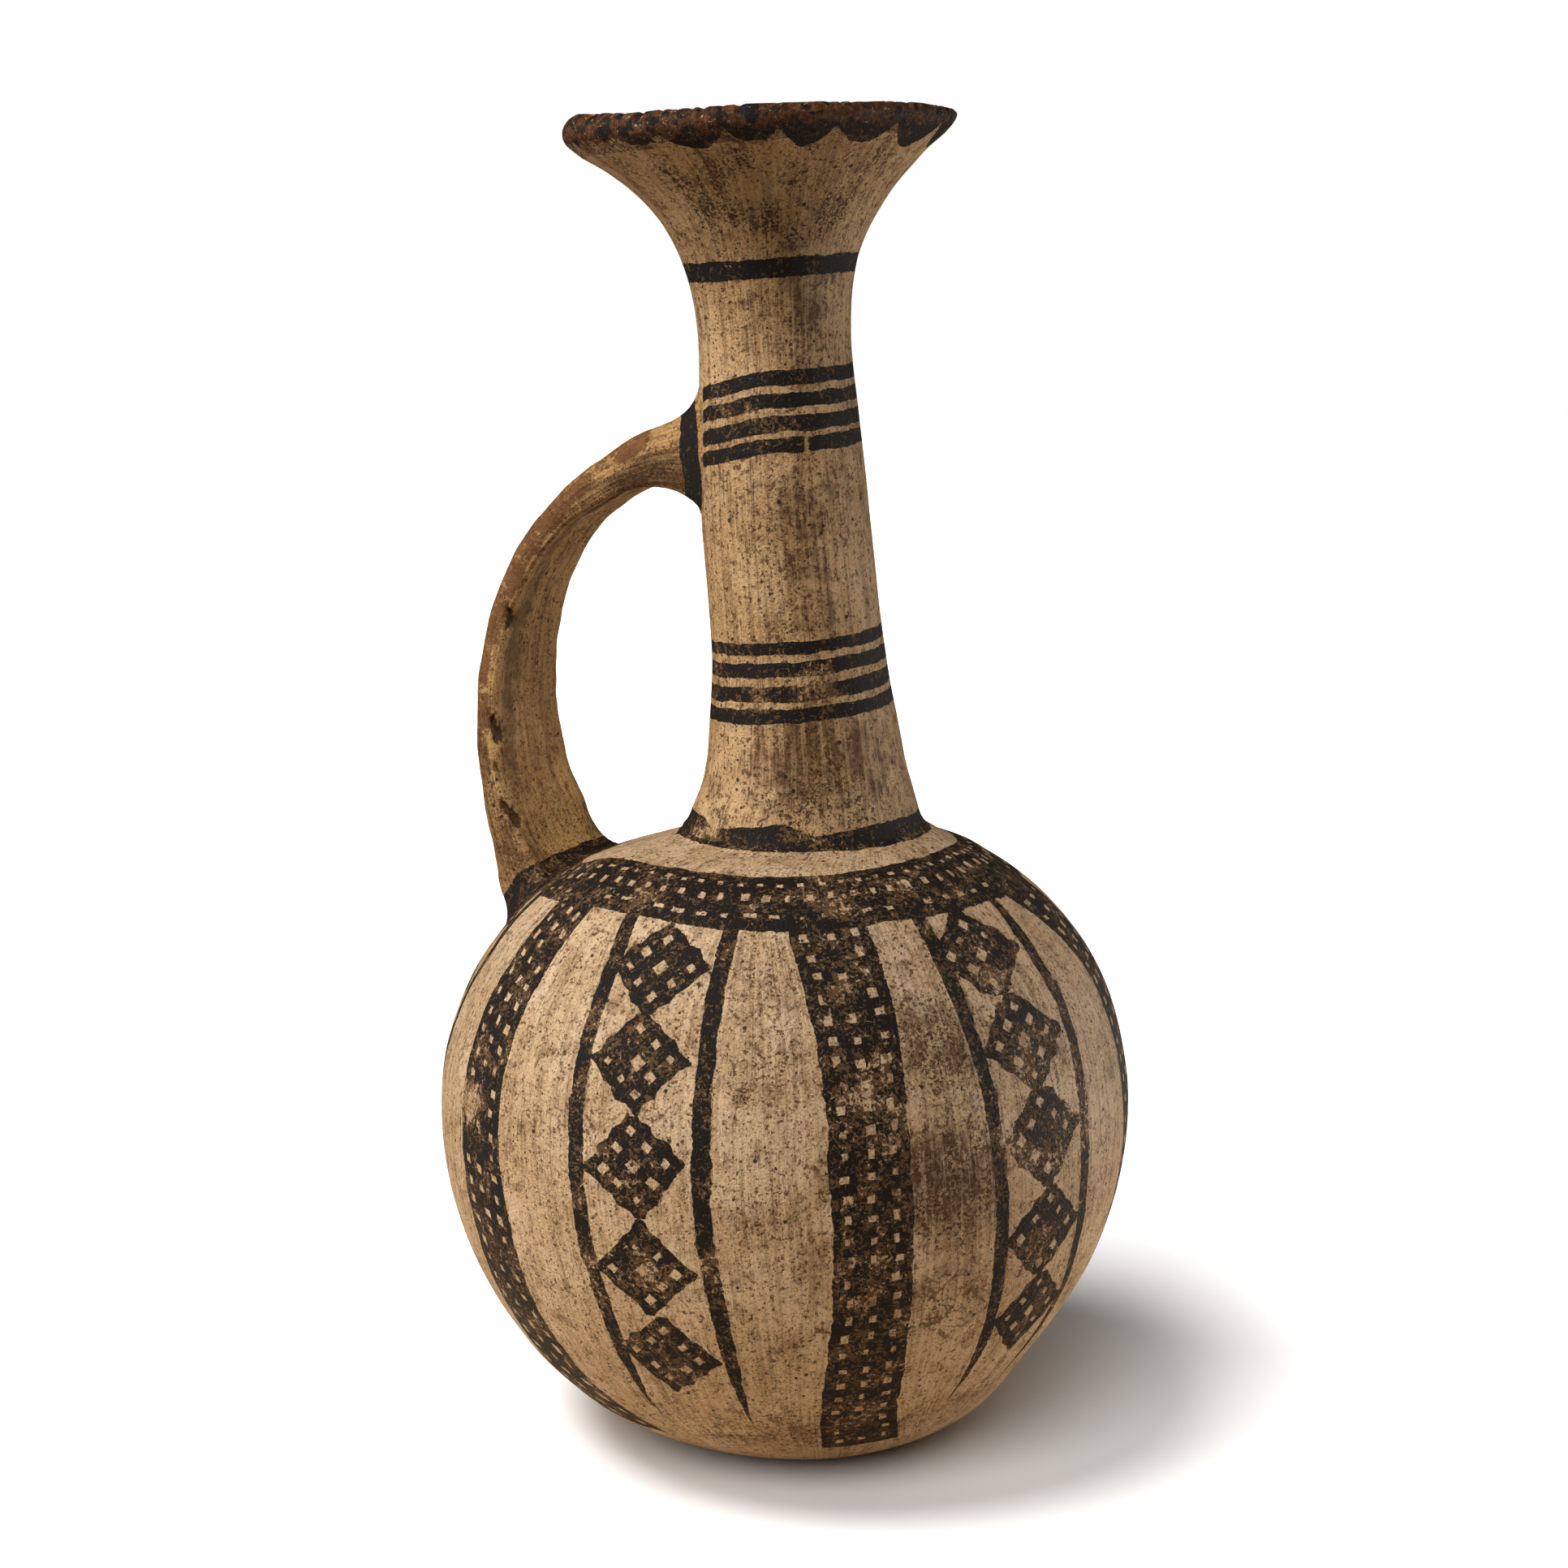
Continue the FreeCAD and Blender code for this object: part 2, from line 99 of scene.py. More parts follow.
def arcLine(centre, radius, start, end, count=48):
    line = []
    for number in range(count + 1):
        turn = math.radians(start + (end - start) * number / count)
        line.append(Vector((centre[0] + radius * math.cos(turn), centre[1] + radius * math.sin(turn))))
    return line


def smoothLine(points, count=16):
    places = [Vector(point) for point in points]
    line = []
    for number, (start, end) in enumerate(zip(places, places[1:])):
        before = places[max(number - 1, 0)]
        after = places[min(number + 2, len(places) - 1)]
        reach = (end - start).length
        leave = (end - before).normalized() * reach
        arrive = (after - start).normalized() * reach
        for step in range(count):
            t = step / count
            a = 2 * t ** 3 - 3 * t ** 2 + 1
            b = t ** 3 - 2 * t ** 2 + t
            c = -2 * t ** 3 + 3 * t ** 2
            d = t ** 3 - t ** 2
            line.append(start * a + leave * b + end * c + arrive * d)
    line.append(places[-1])
    return line


# the run along a line at each of its points
def lineRuns(line):
    runs = [0.0]
    for start, end in zip(line, line[1:]):
        runs.append(runs[-1] + (end - start).length)
    return runs


# walks along a line in even steps
def evenSteps(line, step):
    runs = lineRuns(line)
    count = max(1, round(runs[-1] / step))
    places = []
    number = 0
    for index in range(count + 1):
        run = runs[-1] * index / count
        while number < len(line) - 2 and runs[number + 1] < run:
            number += 1
        span = max(runs[number + 1] - runs[number], 1e-9)
        places.append(line[number].lerp(line[number + 1], min((run - runs[number]) / span, 1.0)))
    return places


# cuts a rising line at a height; both parts hold the cut's point
def cutLine(line, height):
    for number, (start, end) in enumerate(zip(line, line[1:])):
        if start.y <= height < end.y:
            cut = start.lerp(end, (height - start.y) / (end.y - start.y))
            return line[: number + 1] + [cut], [cut] + line[number + 1 :]
    return line, []


# small helpers for shader nodes; a value is a number, or a nodeValue that holds an earlier node's output

def join(tree, value, socket):
    if isinstance(value, nodeValue):
        tree.links.new(value.socket, socket)
    else:
        socket.default_value = value


def addNode(tree, kind, inputs=None, **settings):
    made = tree.nodes.new(kind)
    made.location = (len(tree.nodes) % 14 * 190, -(len(tree.nodes) // 14) * 260)
    for name, value in settings.items():
        setattr(made, name, value)
    for name, value in (inputs or {}).items():
        join(tree, value, made.inputs[name])
    return made


def maths(tree, operation, *values):
    made = addNode(tree, "ShaderNodeMath", operation=operation)
    for socket, value in zip(made.inputs, values):
        join(tree, value, socket)
    return nodeValue(tree, made.outputs[0])


# a node's output in a sum: each plus, minus, times and abs adds a Math node
class nodeValue:
    def __init__(self, tree, socket):
        self.tree = tree
        self.socket = socket

    def __add__(self, other):
        return maths(self.tree, "ADD", self, other)

    def __sub__(self, other):
        return maths(self.tree, "SUBTRACT", self, other)

    def __rsub__(self, other):
        return maths(self.tree, "SUBTRACT", other, self)

    def __mul__(self, other):
        return maths(self.tree, "MULTIPLY", self, other)

    def __abs__(self):
        return maths(self.tree, "ABSOLUTE", self)


def least(first, second):
    return maths(first.tree, "MINIMUM", first, second)


def most(first, second):
    return maths(first.tree, "MAXIMUM", first, second)


def wholePart(value):
    return maths(value.tree, "FLOOR", value)


# 1 where the value is over the limit, and 0 elsewhere
def over(value, limit):
    return maths(value.tree, "GREATER_THAN", value, limit)


def vectorMaths(operation, first, second):
    made = addNode(first.tree, "ShaderNodeVectorMath", operation=operation)
    join(first.tree, first, made.inputs[0])
    join(first.tree, second, made.inputs[1])
    return nodeValue(first.tree, made.outputs[0])


# goes softly from one amount to another while the value goes from low to high
def fade(value, low, high, start=0.0, end=1.0):
    made = addNode(
        value.tree, "ShaderNodeMapRange",
        {"Value": value, "From Min": low, "From Max": high, "To Min": start, "To Max": end},
        interpolation_type="SMOOTHSTEP",
    )
    return nodeValue(value.tree, made.outputs["Result"])


def mixColour(tree, share, first, second):
    made = addNode(tree, "ShaderNodeMix", data_type="RGBA")
    join(tree, share, made.inputs[0])
    join(tree, first, made.inputs[6])
    join(tree, second, made.inputs[7])
    return nodeValue(tree, made.outputs[2])


# every output of a node, by its name
def outputsOf(tree, made):
    return {socket.name: nodeValue(tree, socket) for socket in made.outputs}


# cloudy noise with features of a given size in millimetres
def cloud(place, size, detail=2.0, roughness=0.5, distortion=0.0, output="Fac"):
    made = addNode(
        place.tree, "ShaderNodeTexNoise",
        {
            "Vector": place, "Scale": 1.0 / size, "Detail": detail, "Roughness": roughness,
            "Distortion": distortion,
        },
    )
    return nodeValue(place.tree, made.outputs[output])


# random cells, a number of them in each millimetre
def randomCells(place, number, feature="F1"):
    made = addNode(place.tree, "ShaderNodeTexVoronoi", {"Vector": place, "Scale": number}, feature=feature)
    return outputsOf(place.tree, made)


def threeParts(colour):
    made = addNode(colour.tree, "ShaderNodeSeparateColor", {"Color": colour})
    return [nodeValue(colour.tree, socket) for socket in made.outputs]


# three numbers that stay the same for the same cell
def cellNumbers(first, second, third):
    tree = first.tree
    cell = addNode(tree, "ShaderNodeCombineXYZ", {"X": first, "Y": second, "Z": third})
    cell = nodeValue(tree, cell.outputs[0])
    drawn = addNode(tree, "ShaderNodeTexWhiteNoise", {"Vector": cell}, noise_dimensions="3D")
    return threeParts(nodeValue(tree, drawn.outputs["Color"]))


def attribute(tree, name):
    return nodeValue(tree, addNode(tree, "ShaderNodeAttribute", attribute_name=name).outputs["Fac"])


# the two coordinates of a flat layout
def layoutAt(tree, name):
    layout = nodeValue(tree, addNode(tree, "ShaderNodeUVMap", uv_map=name).outputs[0])
    made = addNode(tree, "ShaderNodeSeparateXYZ", {"Vector": layout})
    return [nodeValue(tree, socket) for socket in made.outputs[:2]]


# where a point is on the piece, in metres
def objectPlace(tree):
    return nodeValue(tree, addNode(tree, "ShaderNodeTexCoord").outputs["Object"])


def newGroup(name, inputs, outputs):
    group = bpy.data.node_groups.new(name, "ShaderNodeTree")
    for label, kind, value in inputs:
        socket = group.interface.new_socket(label, in_out="INPUT", socket_type="NodeSocket" + kind)
        if value is not None:
            socket.default_value = value
    for label, kind in outputs:
        group.interface.new_socket(label, in_out="OUTPUT", socket_type="NodeSocket" + kind)
    given = outputsOf(group, group.nodes.new("NodeGroupInput"))
    made = group.nodes.new("NodeGroupOutput").inputs
    return group, given, made


def useGroup(tree, group, inputs):
    return outputsOf(tree, addNode(tree, "ShaderNodeGroup", inputs, node_tree=group))


# how far a hand-held brush strays from its line, in millimetres
def makeBrushWander():
    group, given, made = newGroup(
        "brushWander",
        [("Place", "Vector", None), ("Sway", "Float", 0.35), ("Tremble", "Float", 0.15)],
        [("Across", "Float"), ("Along", "Float")],
    )
    slow = threeParts(cloud(given["Place"], 3.6, 1.0, output="Color"))
    quick = threeParts(cloud(given["Place"], 0.8, 2.0, output="Color"))
    for number, label in enumerate(("Across", "Along")):
        stray = (slow[number] - 0.5) * given["Sway"] + (quick[number] - 0.5) * given["Tremble"]
        join(group, stray * 4.0, made[label])
    return group


clayMarks = {
    # size of each cloud in the clay, in mm
    "broad": 13.0,
    "middling": 3.0,
    "fine": 0.45,
    "patch": 6.0,
    "speck": 1.0,
    "blotch": 0.62,
    # the burnishing pebble's marks, narrowed across its strokes and drawn out along them
    "streaks": (1.1, 0.04, 1.0),
    "scratches": (1.5, 0.04, 1.0),
    # cells in each mm
    "crackCells": 0.24,
    "dotCells": 0.95,
    "pitCells": 0.62,
    # how much of its own colour each mark has, and how deep it is in mm
    "strength": {"speck": 0.86, "blotch": 0.92, "scratch": 0.75, "crack": 0.85, "dot": 0.85, "pit": 0.9},
    "depth": {
        "streak": 0.16, "scratch": 0.05, "speck": 0.05, "dot": 0.08, "blotch": 0.12, "crack": 0.05,
        "pit": 0.22,
    },
}


# the slipped clay: mottled, streaked by burnishing, with pits and brown specks
def makeClayGround():
    group, given, made = newGroup(
        "clayGround",
        [
            ("Place", "Vector", None), ("Brushed", "Vector", None),
            ("Slip", "Color", (0.5, 0.36, 0.22, 1.0)), ("Pale", "Color", (0.66, 0.5, 0.33, 1.0)),
            ("Stain", "Color", (0.2, 0.11, 0.045, 1.0)), ("Pit", "Color", (0.03, 0.018, 0.009, 1.0)),
            ("Darkened", "Float", 0.0), ("Blotched", "Float", 0.0), ("Streaked", "Float", 0.5),
            ("Specks", "Float", 0.5), ("Pitted", "Float", 0.5), ("Crazed", "Float", 0.0),
        ],
        [("Colour", "Color"), ("Roughness", "Float"), ("Height", "Float")],
    )
    place = given["Place"]
    pale = given["Pale"]
    stain = given["Stain"]
    dark = mixColour(group, 0.65, stain, given["Pit"])
    marks = {}
    broad = cloud(place, clayMarks["broad"], 3.0, 0.55)
    middling = cloud(place, clayMarks["middling"], 3.0, 0.62)
    fine = cloud(place, clayMarks["fine"], 3.0, 0.7)
    colour = mixColour(group, fade(broad, 0.44, 0.62, 0.0, 0.55), given["Slip"], pale)
    colour = mixColour(group, fade(middling, 0.5, 0.7, 0.0, 0.38), colour, stain)
    colour = mixColour(group, fade(fine, 0.5, 0.64, 0.0, 0.6), colour, pale)
    colour = mixColour(group, fade(fine, 0.48, 0.34, 0.0, 0.5), colour, stain)
    # brown patches, and specks that lie thicker in them
    patch = cloud(place, clayMarks["patch"], 4.0, 0.65) + given["Darkened"]
    colour = mixColour(group, fade(patch, 0.52, 1.0, 0.0, 0.85), colour, stain)
    speck = cloud(place, clayMarks["speck"], 4.0, 0.66) + given["Specks"] * 0.12 + patch * 0.16
    marks["speck"] = fade(speck, 0.735, 0.76)
    # dark crumbly blotches
    blotch = cloud(vectorMaths("ADD", place, (17.0, 3.0, 9.0)), clayMarks["blotch"], 4.0, 0.64, 0.8)
    marks["blotch"] = fade(given["Blotched"] + blotch, 0.635, 0.645)
    for name, shade in (("speck", stain), ("blotch", dark)):
        colour = mixColour(group, marks[name] * clayMarks["strength"][name], colour, shade)
    # broad soft streaks and fine scratches left by the burnishing pebble
    streak = cloud(vectorMaths("MULTIPLY", given["Brushed"], clayMarks["streaks"]), 1.0, 2.0, 0.6)
    marks["streak"] = streak
    amount = given["Streaked"] * 0.5
    colour = mixColour(group, fade(streak, 0.5, 0.68) * (given["Darkened"] * 0.7 + amount), colour, stain)
    colour = mixColour(group, fade(streak, 0.5, 0.34) * amount, colour, pale)
    scratch = cloud(vectorMaths("MULTIPLY", given["Brushed"], clayMarks["scratches"]), 1.0, 1.0, 0.5)
    scratch = fade(abs(scratch - 0.52), 0.024, 0.008) * fade(middling, 0.44, 0.54)
    marks["scratch"] = scratch * given["Streaked"]
    # crazing in wandering cracks
    bend = vectorMaths("MULTIPLY", cloud(place, 2.5, output="Color"), (4.0, 4.0, 4.0))
    cracks = randomCells(vectorMaths("ADD", place, bend), clayMarks["crackCells"], "DISTANCE_TO_EDGE")
    broken = fade(cloud(place, 2.4), 0.44, 0.52)
    marks["crack"] = fade(cracks["Distance"], 0.07, 0.03) * (broken * given["Crazed"])
    for name in ("scratch", "crack"):
        colour = mixColour(group, marks[name] * clayMarks["strength"][name], colour, stain)
    # small dark dots, thicker in the brown patches
    grains = randomCells(place, clayMarks["dotCells"])
    chance, wide, _ = threeParts(grains["Color"])
    dot = fade(grains["Distance"], wide * 0.16 + 0.17, 0.1)
    marks["dot"] = dot * (fade(chance + patch * 0.9, 1.0, 1.06) * given["Specks"])
    colour = mixColour(group, least(marks["dot"] * 1.6, clayMarks["strength"]["dot"]), colour, dark)
    # pits
    holes = randomCells(place, clayMarks["pitCells"])
    wide, chance, _ = threeParts(holes["Color"])
    reach = maths(group, "POWER", wide, 5.0) * 0.2 + given["Pitted"] * 0.17
    marks["pit"] = fade(holes["Distance"], reach, reach * 0.6) * fade(chance, 0.35, 0.5)
    colour = mixColour(group, marks["pit"] * clayMarks["strength"]["pit"], colour, given["Pit"])
    join(group, colour, made["Colour"])
    join(group, fine * 0.3 + 0.34 + marks["blotch"] * 0.2 + marks["pit"] * 0.2, made["Roughness"])
    height = middling * 0.4 + fine * 0.34
    for name, depth in clayMarks["depth"].items():
        height = height - marks[name] * depth
    join(group, height, made["Height"])
    return group


# dark paint over the clay, rubbed to brown and then to bare slip
def makeWornPaint():
    group, given, made = newGroup(
        "wornPaint",
        [
            ("Place", "Vector", None), ("Ground", "Color", None), ("Ground Roughness", "Float", 0.7),
            ("Ground Height", "Float", 0.0), ("Inside", "Float", 0.0), ("Wear", "Float", 0.4),
            ("Paint", "Color", (0.012, 0.009, 0.007, 1.0)), ("Rubbed", "Color", (0.12, 0.062, 0.024, 1.0)),
        ],
        [("Colour", "Color"), ("Roughness", "Float"), ("Height", "Float")],
    )
    place = given["Place"]
    level = given["Wear"] + (cloud(place, 5.0, 2.0, 0.55) * 2.0 - 1.0)
    worm = cloud(place, 0.95, 3.0, 0.62, 1.0)
    crumb = cloud(vectorMaths("ADD", place, (31.0, 7.0, 3.0)), 0.8, 3.0, 0.66, 0.4)
    rubbed = fade(level * 0.21 + worm, 0.635, 0.67)
    bare = fade(level * 0.22 + crumb, 0.73, 0.765) * (rubbed * 0.6 + 0.4)
    painted = fade(given["Inside"], -0.07, 0.09) * (1.0 - bare * 0.8)
    dark = mixColour(group, rubbed * 0.85, given["Paint"], given["Rubbed"])
    join(group, mixColour(group, painted, given["Ground"], dark), made["Colour"])
    rough = given["Ground Roughness"]
    join(group, rough + painted * (rubbed * 0.12 + 0.62 - rough), made["Roughness"])
    join(group, given["Ground Height"] + painted * (0.07 - rubbed * 0.06), made["Height"])
    return group


brushWander = makeBrushWander()
clayGround = makeClayGround()
wornPaint = makeWornPaint()
print("shared shader groups made")


finishSizes = {
    "refraction": 1.46,
    "shine": 0.27,
    "bumpDistance": 0.001,
}


# starts a piece's material: its place in mm, and the brush's straying by the sizes given
def startMaterial(name, sway, tremble):
    material = bpy.data.materials.new(name)
    material.use_nodes = True
    tree = material.node_tree
    place = vectorMaths("MULTIPLY", objectPlace(tree), (1000.0, 1000.0, 1000.0))
    wander = useGroup(tree, brushWander, {"Place": place, "Sway": sway, "Tremble": tremble})
    return material, tree, place, wander


# slipped clay in a piece's own colours; the strokes are the mm across and along them
def clayUnder(tree, place, strokes, colours, amounts):
    brushed = addNode(tree, "ShaderNodeCombineXYZ", {"X": strokes[0], "Y": strokes[1], "Z": 0.0})
    inputs = {"Place": place, "Brushed": nodeValue(tree, brushed.outputs[0]), **amounts}
    for label in ("Slip", "Pale", "Stain", "Pit"):
        inputs[label] = colours[label.lower()]
    return useGroup(tree, clayGround, inputs)


# lays worn paint on the clay where inside is above 0, and joins both to the shader
def paintOver(material, place, ground, inside, wear, colours, strength=0.8):
    tree = material.node_tree
    painted = useGroup(tree, wornPaint, {
        "Place": place, "Ground": ground["Colour"], "Ground Roughness": ground["Roughness"],
        "Ground Height": ground["Height"], "Inside": inside, "Wear": wear,
        "Paint": colours["paint"], "Rubbed": colours["rubbed"],
    })
    shader = tree.nodes["Principled BSDF"]
    shader.inputs["IOR"].default_value = finishSizes["refraction"]
    shader.inputs["Specular IOR Level"].default_value = finishSizes["shine"]
    join(tree, painted["Colour"], shader.inputs["Base Color"])
    join(tree, painted["Roughness"], shader.inputs["Roughness"])
    bump = addNode(tree, "ShaderNodeBump", {
        "Height": painted["Height"], "Strength": strength, "Distance": finishSizes["bumpDistance"],
    })
    join(tree, nodeValue(tree, bump.outputs["Normal"]), shader.inputs["Normal"])


# outlines of the vessel as (radius, height), before the neck is leant

bodySizes = {
    "bellyRadius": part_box("lower_body")[1].x / mm,
    "bellyHeight": 64.9,
    "baseRadius": 18.0,
    "heelRadius": 44.6,
    "heelHeight": 14.3,
    "shoulderArc": 57.0,
    "wall": 4.5,
    "floor": 6.0,
    # the inside's lower corner: height over the floor where the wall ends, then steps inwards and height left
    "cornerHeight": 8.0,
    "corner": [(9.0, 2.0), (14.0, 0.0)],
    # the resting flat's soft edge: width and rise
    "restEdge": (1.5, 0.12),
    "rowStep": 1.25,
    "innerStep": 4.0,
    "columns": 360,
    "wobble": 0.22,
    "wobbleSize": 22.0,
    # how far the wall strays from round: height, then towards the picture's left, front and right
    "stray": [
        (0, 0.2, -1.2, 0.0), (4, 0.8, -1.2, -0.3), (11, 0.7, -0.7, -0.9), (17, 0.1, -0.2, -1.6),
        (24, -0.1, 0.0, -1.1), (37, 0.3, 0.0, -0.2), (50, 0.5, 0.0, 0.2), (63, 0.6, 0.0, 0.5),
        (76, 0.6, 0.0, 0.6), (89, 0.0, 0.0, 0.9), (96, -0.7, 0.0, 1.0), (105, -0.6, 0.0, 0.7),
        (112, -0.3, 0.0, 0.0), (120, 0.0, 0.0, 0.0),
    ],
    # how far the shoulder sinks beside the neck: degrees from the viewer and depth, then radius and share
    "sag": [
        (-180, 1.2), (-150, 2.6), (-125, 3.2), (-100, 3.2), (-85, 1.5), (-68, 0.0), (70, 0.0), (90, 0.8),
        (120, 0.8), (150, 0.4), (180, 1.2),
    ],
    "sagReach": [(21.5, 0.0), (24.5, 0.3), (28.0, 0.75), (33.0, 1.0), (40.0, 0.9), (50.0, 0.25), (57.0, 0.0)],
    # the resting flat is off the middle, towards the picture's right, up to this height
    "baseShift": 3.2,
    "baseShiftTop": 24.0,
}
neckSizes = {
    "jointHeight": 118.2,
    "footRadius": 18.0,
    "footHeight": 110.0,
    "bore": 10.0,
    # the neck's hidden foot is lapped this far under the seam with the body
    "jointLap": 1.9,
    # outside of the neck, from the shoulder up: radius and height
    "outline": [
        (37.0, 113.95), (32.0, 115.6), (28.0, 116.5), (25.4, 117.05), (23.8, 117.6), (22.7, 118.4),
        (21.9, 119.7), (21.2, 121.7), (20.25, 124.5), (19.35, 127.3), (18.35, 132.2), (17.45, 138.9),
        (16.7, 145.0), (16.15, 151.0), (15.85, 157.2),
        (15.65, 166.0), (15.5, 175.0), (15.0, 187.0), (14.25, 199.0), (13.85, 206.0), (13.95, 211.0),
        (14.5, 216.5), (15.85, 222.3), (18.45, 228.0), (22.6, 233.8), (28.3, 239.2), (32.3, 242.0),
    ],
    # inside, from the lip down
    "innerOutline": [
        (30.05, 244.7), (26.0, 241.4), (20.2, 236.3), (15.4, 230.0), (12.4, 223.6), (10.8, 216.5),
        (10.15, 208.5), (10.0, 201.0), (10.0, 190.0),
    ],
    "rowStep": 1.15,
    "innerStep": 2.2,
    "boreRow": 150.0,
    "columns": 224,
    "wobble": 0.15,
}
lipSizes = {
    # outer seam, lower face, rounded edge, top and inner seam
    "outline": [
        (32.3, 242.0), (33.5, 243.05), (34.6, 244.1), (35.25, 245.2), (35.3, 246.4), (34.55, 247.3),
        (33.5, 247.35), (32.1, 246.4), (30.05, 244.7),
    ],
    "rowStep": 0.42,
    "columns": 448,
    "slope": 50.0,
    "wave": 0.2,
    "waves": 8.0,
    # depth of the chips, how much closer than the waves they are, and how few
    "chips": 0.9,
    "chipsCloser": 3.1,
    "chipLimit": 0.12,
    # mm out from the seam: where the unevenness is whole, and where the wear starts and is whole
    "grownAt": 2.2,
    "wearReach": (1.5, 4.0),
    "wearMost": 0.6,
    "wobble": 0.15,
    # round the mouth: degrees from the viewer towards the right, thickness share, reach in mm
    "uneven": [
        (-180, 1.0, 0.0), (-110, 1.5, 0.3), (-75, 1.7, 0.35), (-40, 1.3, 0.0), (0, 1.15, 0.1),
        (50, 0.85, -0.4), (85, 0.5, -1.1), (110, 0.5, -1.1), (145, 0.8, -0.4), (180, 1.0, 0.0),
    ],
}
neckLean = {
    "degrees": 4.35,
    "heading": 232.4,
    "footX": 4.6,
    "footY": 2.5,
    "footHeight": 110.0,
    # the shoulder follows the neck between these radii, and the rings tilt between these heights
    "noneAtRadius": 34.0,
    "fullAtRadius": 23.0,
    "tiltFrom": 112.0,
    "tiltTo": 132.0,
    # how far the middle line strays sideways: height and offset
    "sway": [
        (110, -1.2), (118, -1.1), (126, -0.3), (133, 0.0), (150, 0.0), (163, -0.3), (175, -0.65),
        (199, -0.55), (211, -0.35), (222, -0.2), (230, 0.3), (237, 0.3), (242, -0.3), (247, -0.6),
    ],
}


# radius of the bowl's arc, from the belly down to the heel
def bowlArc():
    width = bodySizes["bellyRadius"] - bodySizes["heelRadius"]
    depth = bodySizes["bellyHeight"] - bodySizes["heelHeight"]
    return (width ** 2 + depth ** 2) / (2 * width)


def shoulderLine():
    belly = bodySizes["bellyRadius"]
    middle = bodySizes["bellyHeight"]
    heelRadius = bodySizes["heelRadius"]
    heelHeight = bodySizes["heelHeight"]
    base = bodySizes["baseRadius"]
    bowl = bowlArc()
    heelTurn = math.degrees(math.asin((middle - heelHeight) / bowl))
    across = math.cos(math.radians(heelTurn))
    down = math.sin(math.radians(heelTurn))
    heelWidth = heelRadius - base
    heelArc = (heelWidth ** 2 + heelHeight ** 2) / (2 * (heelWidth * across - heelHeight * down))
    centre = (heelRadius - heelArc * across, heelHeight + heelArc * down)
    baseTurn = math.degrees(math.atan2(centre[1], base - centre[0]))
    edge, rise = bodySizes["restEdge"]
    line = [Vector((0.0, 0.0)), Vector((base - edge, 0.0)), Vector((base, rise))]
    line += arcLine(centre, heelArc, -baseTurn, -heelTurn)[2:]
    line += arcLine((belly - bowl, middle), bowl, -heelTurn, 0.0)[1:]
    arc = bodySizes["shoulderArc"]
    endTurn = math.degrees(math.acos((neckSizes["outline"][0][0] - belly + arc) / arc))
    line += arcLine((belly - arc, middle), arc, 0.0, endTurn)[1:]
    return line


def innerBodyLine():
    belly = bodySizes["bellyRadius"]
    middle = bodySizes["bellyHeight"]
    wall = bodySizes["wall"]
    arc = bodySizes["shoulderArc"]
    endTurn = math.degrees(math.acos((neckSizes["footRadius"] - belly + arc) / (arc - wall)))
    line = arcLine((belly - arc, middle), arc - wall, endTurn, 0.0)
    floor = bodySizes["floor"]
    bowl = bowlArc()
    floorTurn = math.degrees(math.asin((middle - floor - bodySizes["cornerHeight"]) / (bowl - wall)))
    line += arcLine((belly - bowl, middle), bowl - wall, 0.0, -floorTurn)[1:]
    for step, rise in bodySizes["corner"]:
        line.append(Vector((line[-1].x - step, floor + rise)))
    line.append(Vector((0.0, floor)))
    return line


# spins an outline into a closed shell of quads; "along" is the run up the outline
def spinShell(rows, columns, closed):
    shell = bmesh.new()
    along = shell.verts.layers.float.new("along")
    side = shell.verts.layers.float.new("inside")
    chain = []
    for radius, height, run, inside in rows:
        vert = shell.verts.new((radius, 0.0, height))
        vert[along] = run
        vert[side] = inside
        chain.append(vert)
    edges = [shell.edges.new(pair) for pair in zip(chain, chain[1:])]
    if closed:
        edges.append(shell.edges.new((chain[-1], chain[0])))
    bmesh.ops.spin(
        shell, geom=chain + edges, cent=(0, 0, 0), axis=(0, 0, 1), angle=math.tau, steps=columns,
        use_merge=True,
    )
    bmesh.ops.remove_doubles(shell, verts=shell.verts, dist=1e-4)
    bmesh.ops.recalc_face_normals(shell, faces=shell.faces)
    return shell


# low bumps of a hand-built wall, in millimetres
def handWobble(place, size, height):
    value = noise.noise(place / size) + 0.5 * noise.noise(place * (2.3 / size) + Vector((7.0, 3.0, 1.0)))
    return value * height


# where a point of the straight outline ends up on the leaning jug
def leanPlace(radius, turn, height):
    heading = math.radians(neckLean["heading"])
    lean = math.radians(neckLean["degrees"])
    sideways = math.radians(viewpoint["azimuth"])
    out = Vector((radius * math.sin(turn), -radius * math.cos(turn), height))
    if height < bodySizes["bellyHeight"]:
        return out
    follow = 1.0 - smoothStep(neckLean["fullAtRadius"], neckLean["noneAtRadius"], radius)
    if height > neckLean["tiltTo"]:
        follow = 1.0
    rise = max(height - neckLean["footHeight"], 0.0) * math.tan(lean)
    sway = fromTable(neckLean["sway"], height)
    centre = Vector((
        neckLean["footX"] + rise * math.cos(heading) + sway * math.cos(sideways),
        neckLean["footY"] + rise * math.sin(heading) + sway * math.sin(sideways),
        0.0,
    ))
    tilt = lean * smoothStep(neckLean["tiltFrom"], neckLean["tiltTo"], height) * follow
    ahead = Vector((math.cos(heading), math.sin(heading), 0.0))
    reach = out.x * ahead.x + out.y * ahead.y
    out += ahead * (reach * (math.cos(tilt) - 1.0))
    out.z -= reach * math.sin(tilt)
    return out + centre * follow


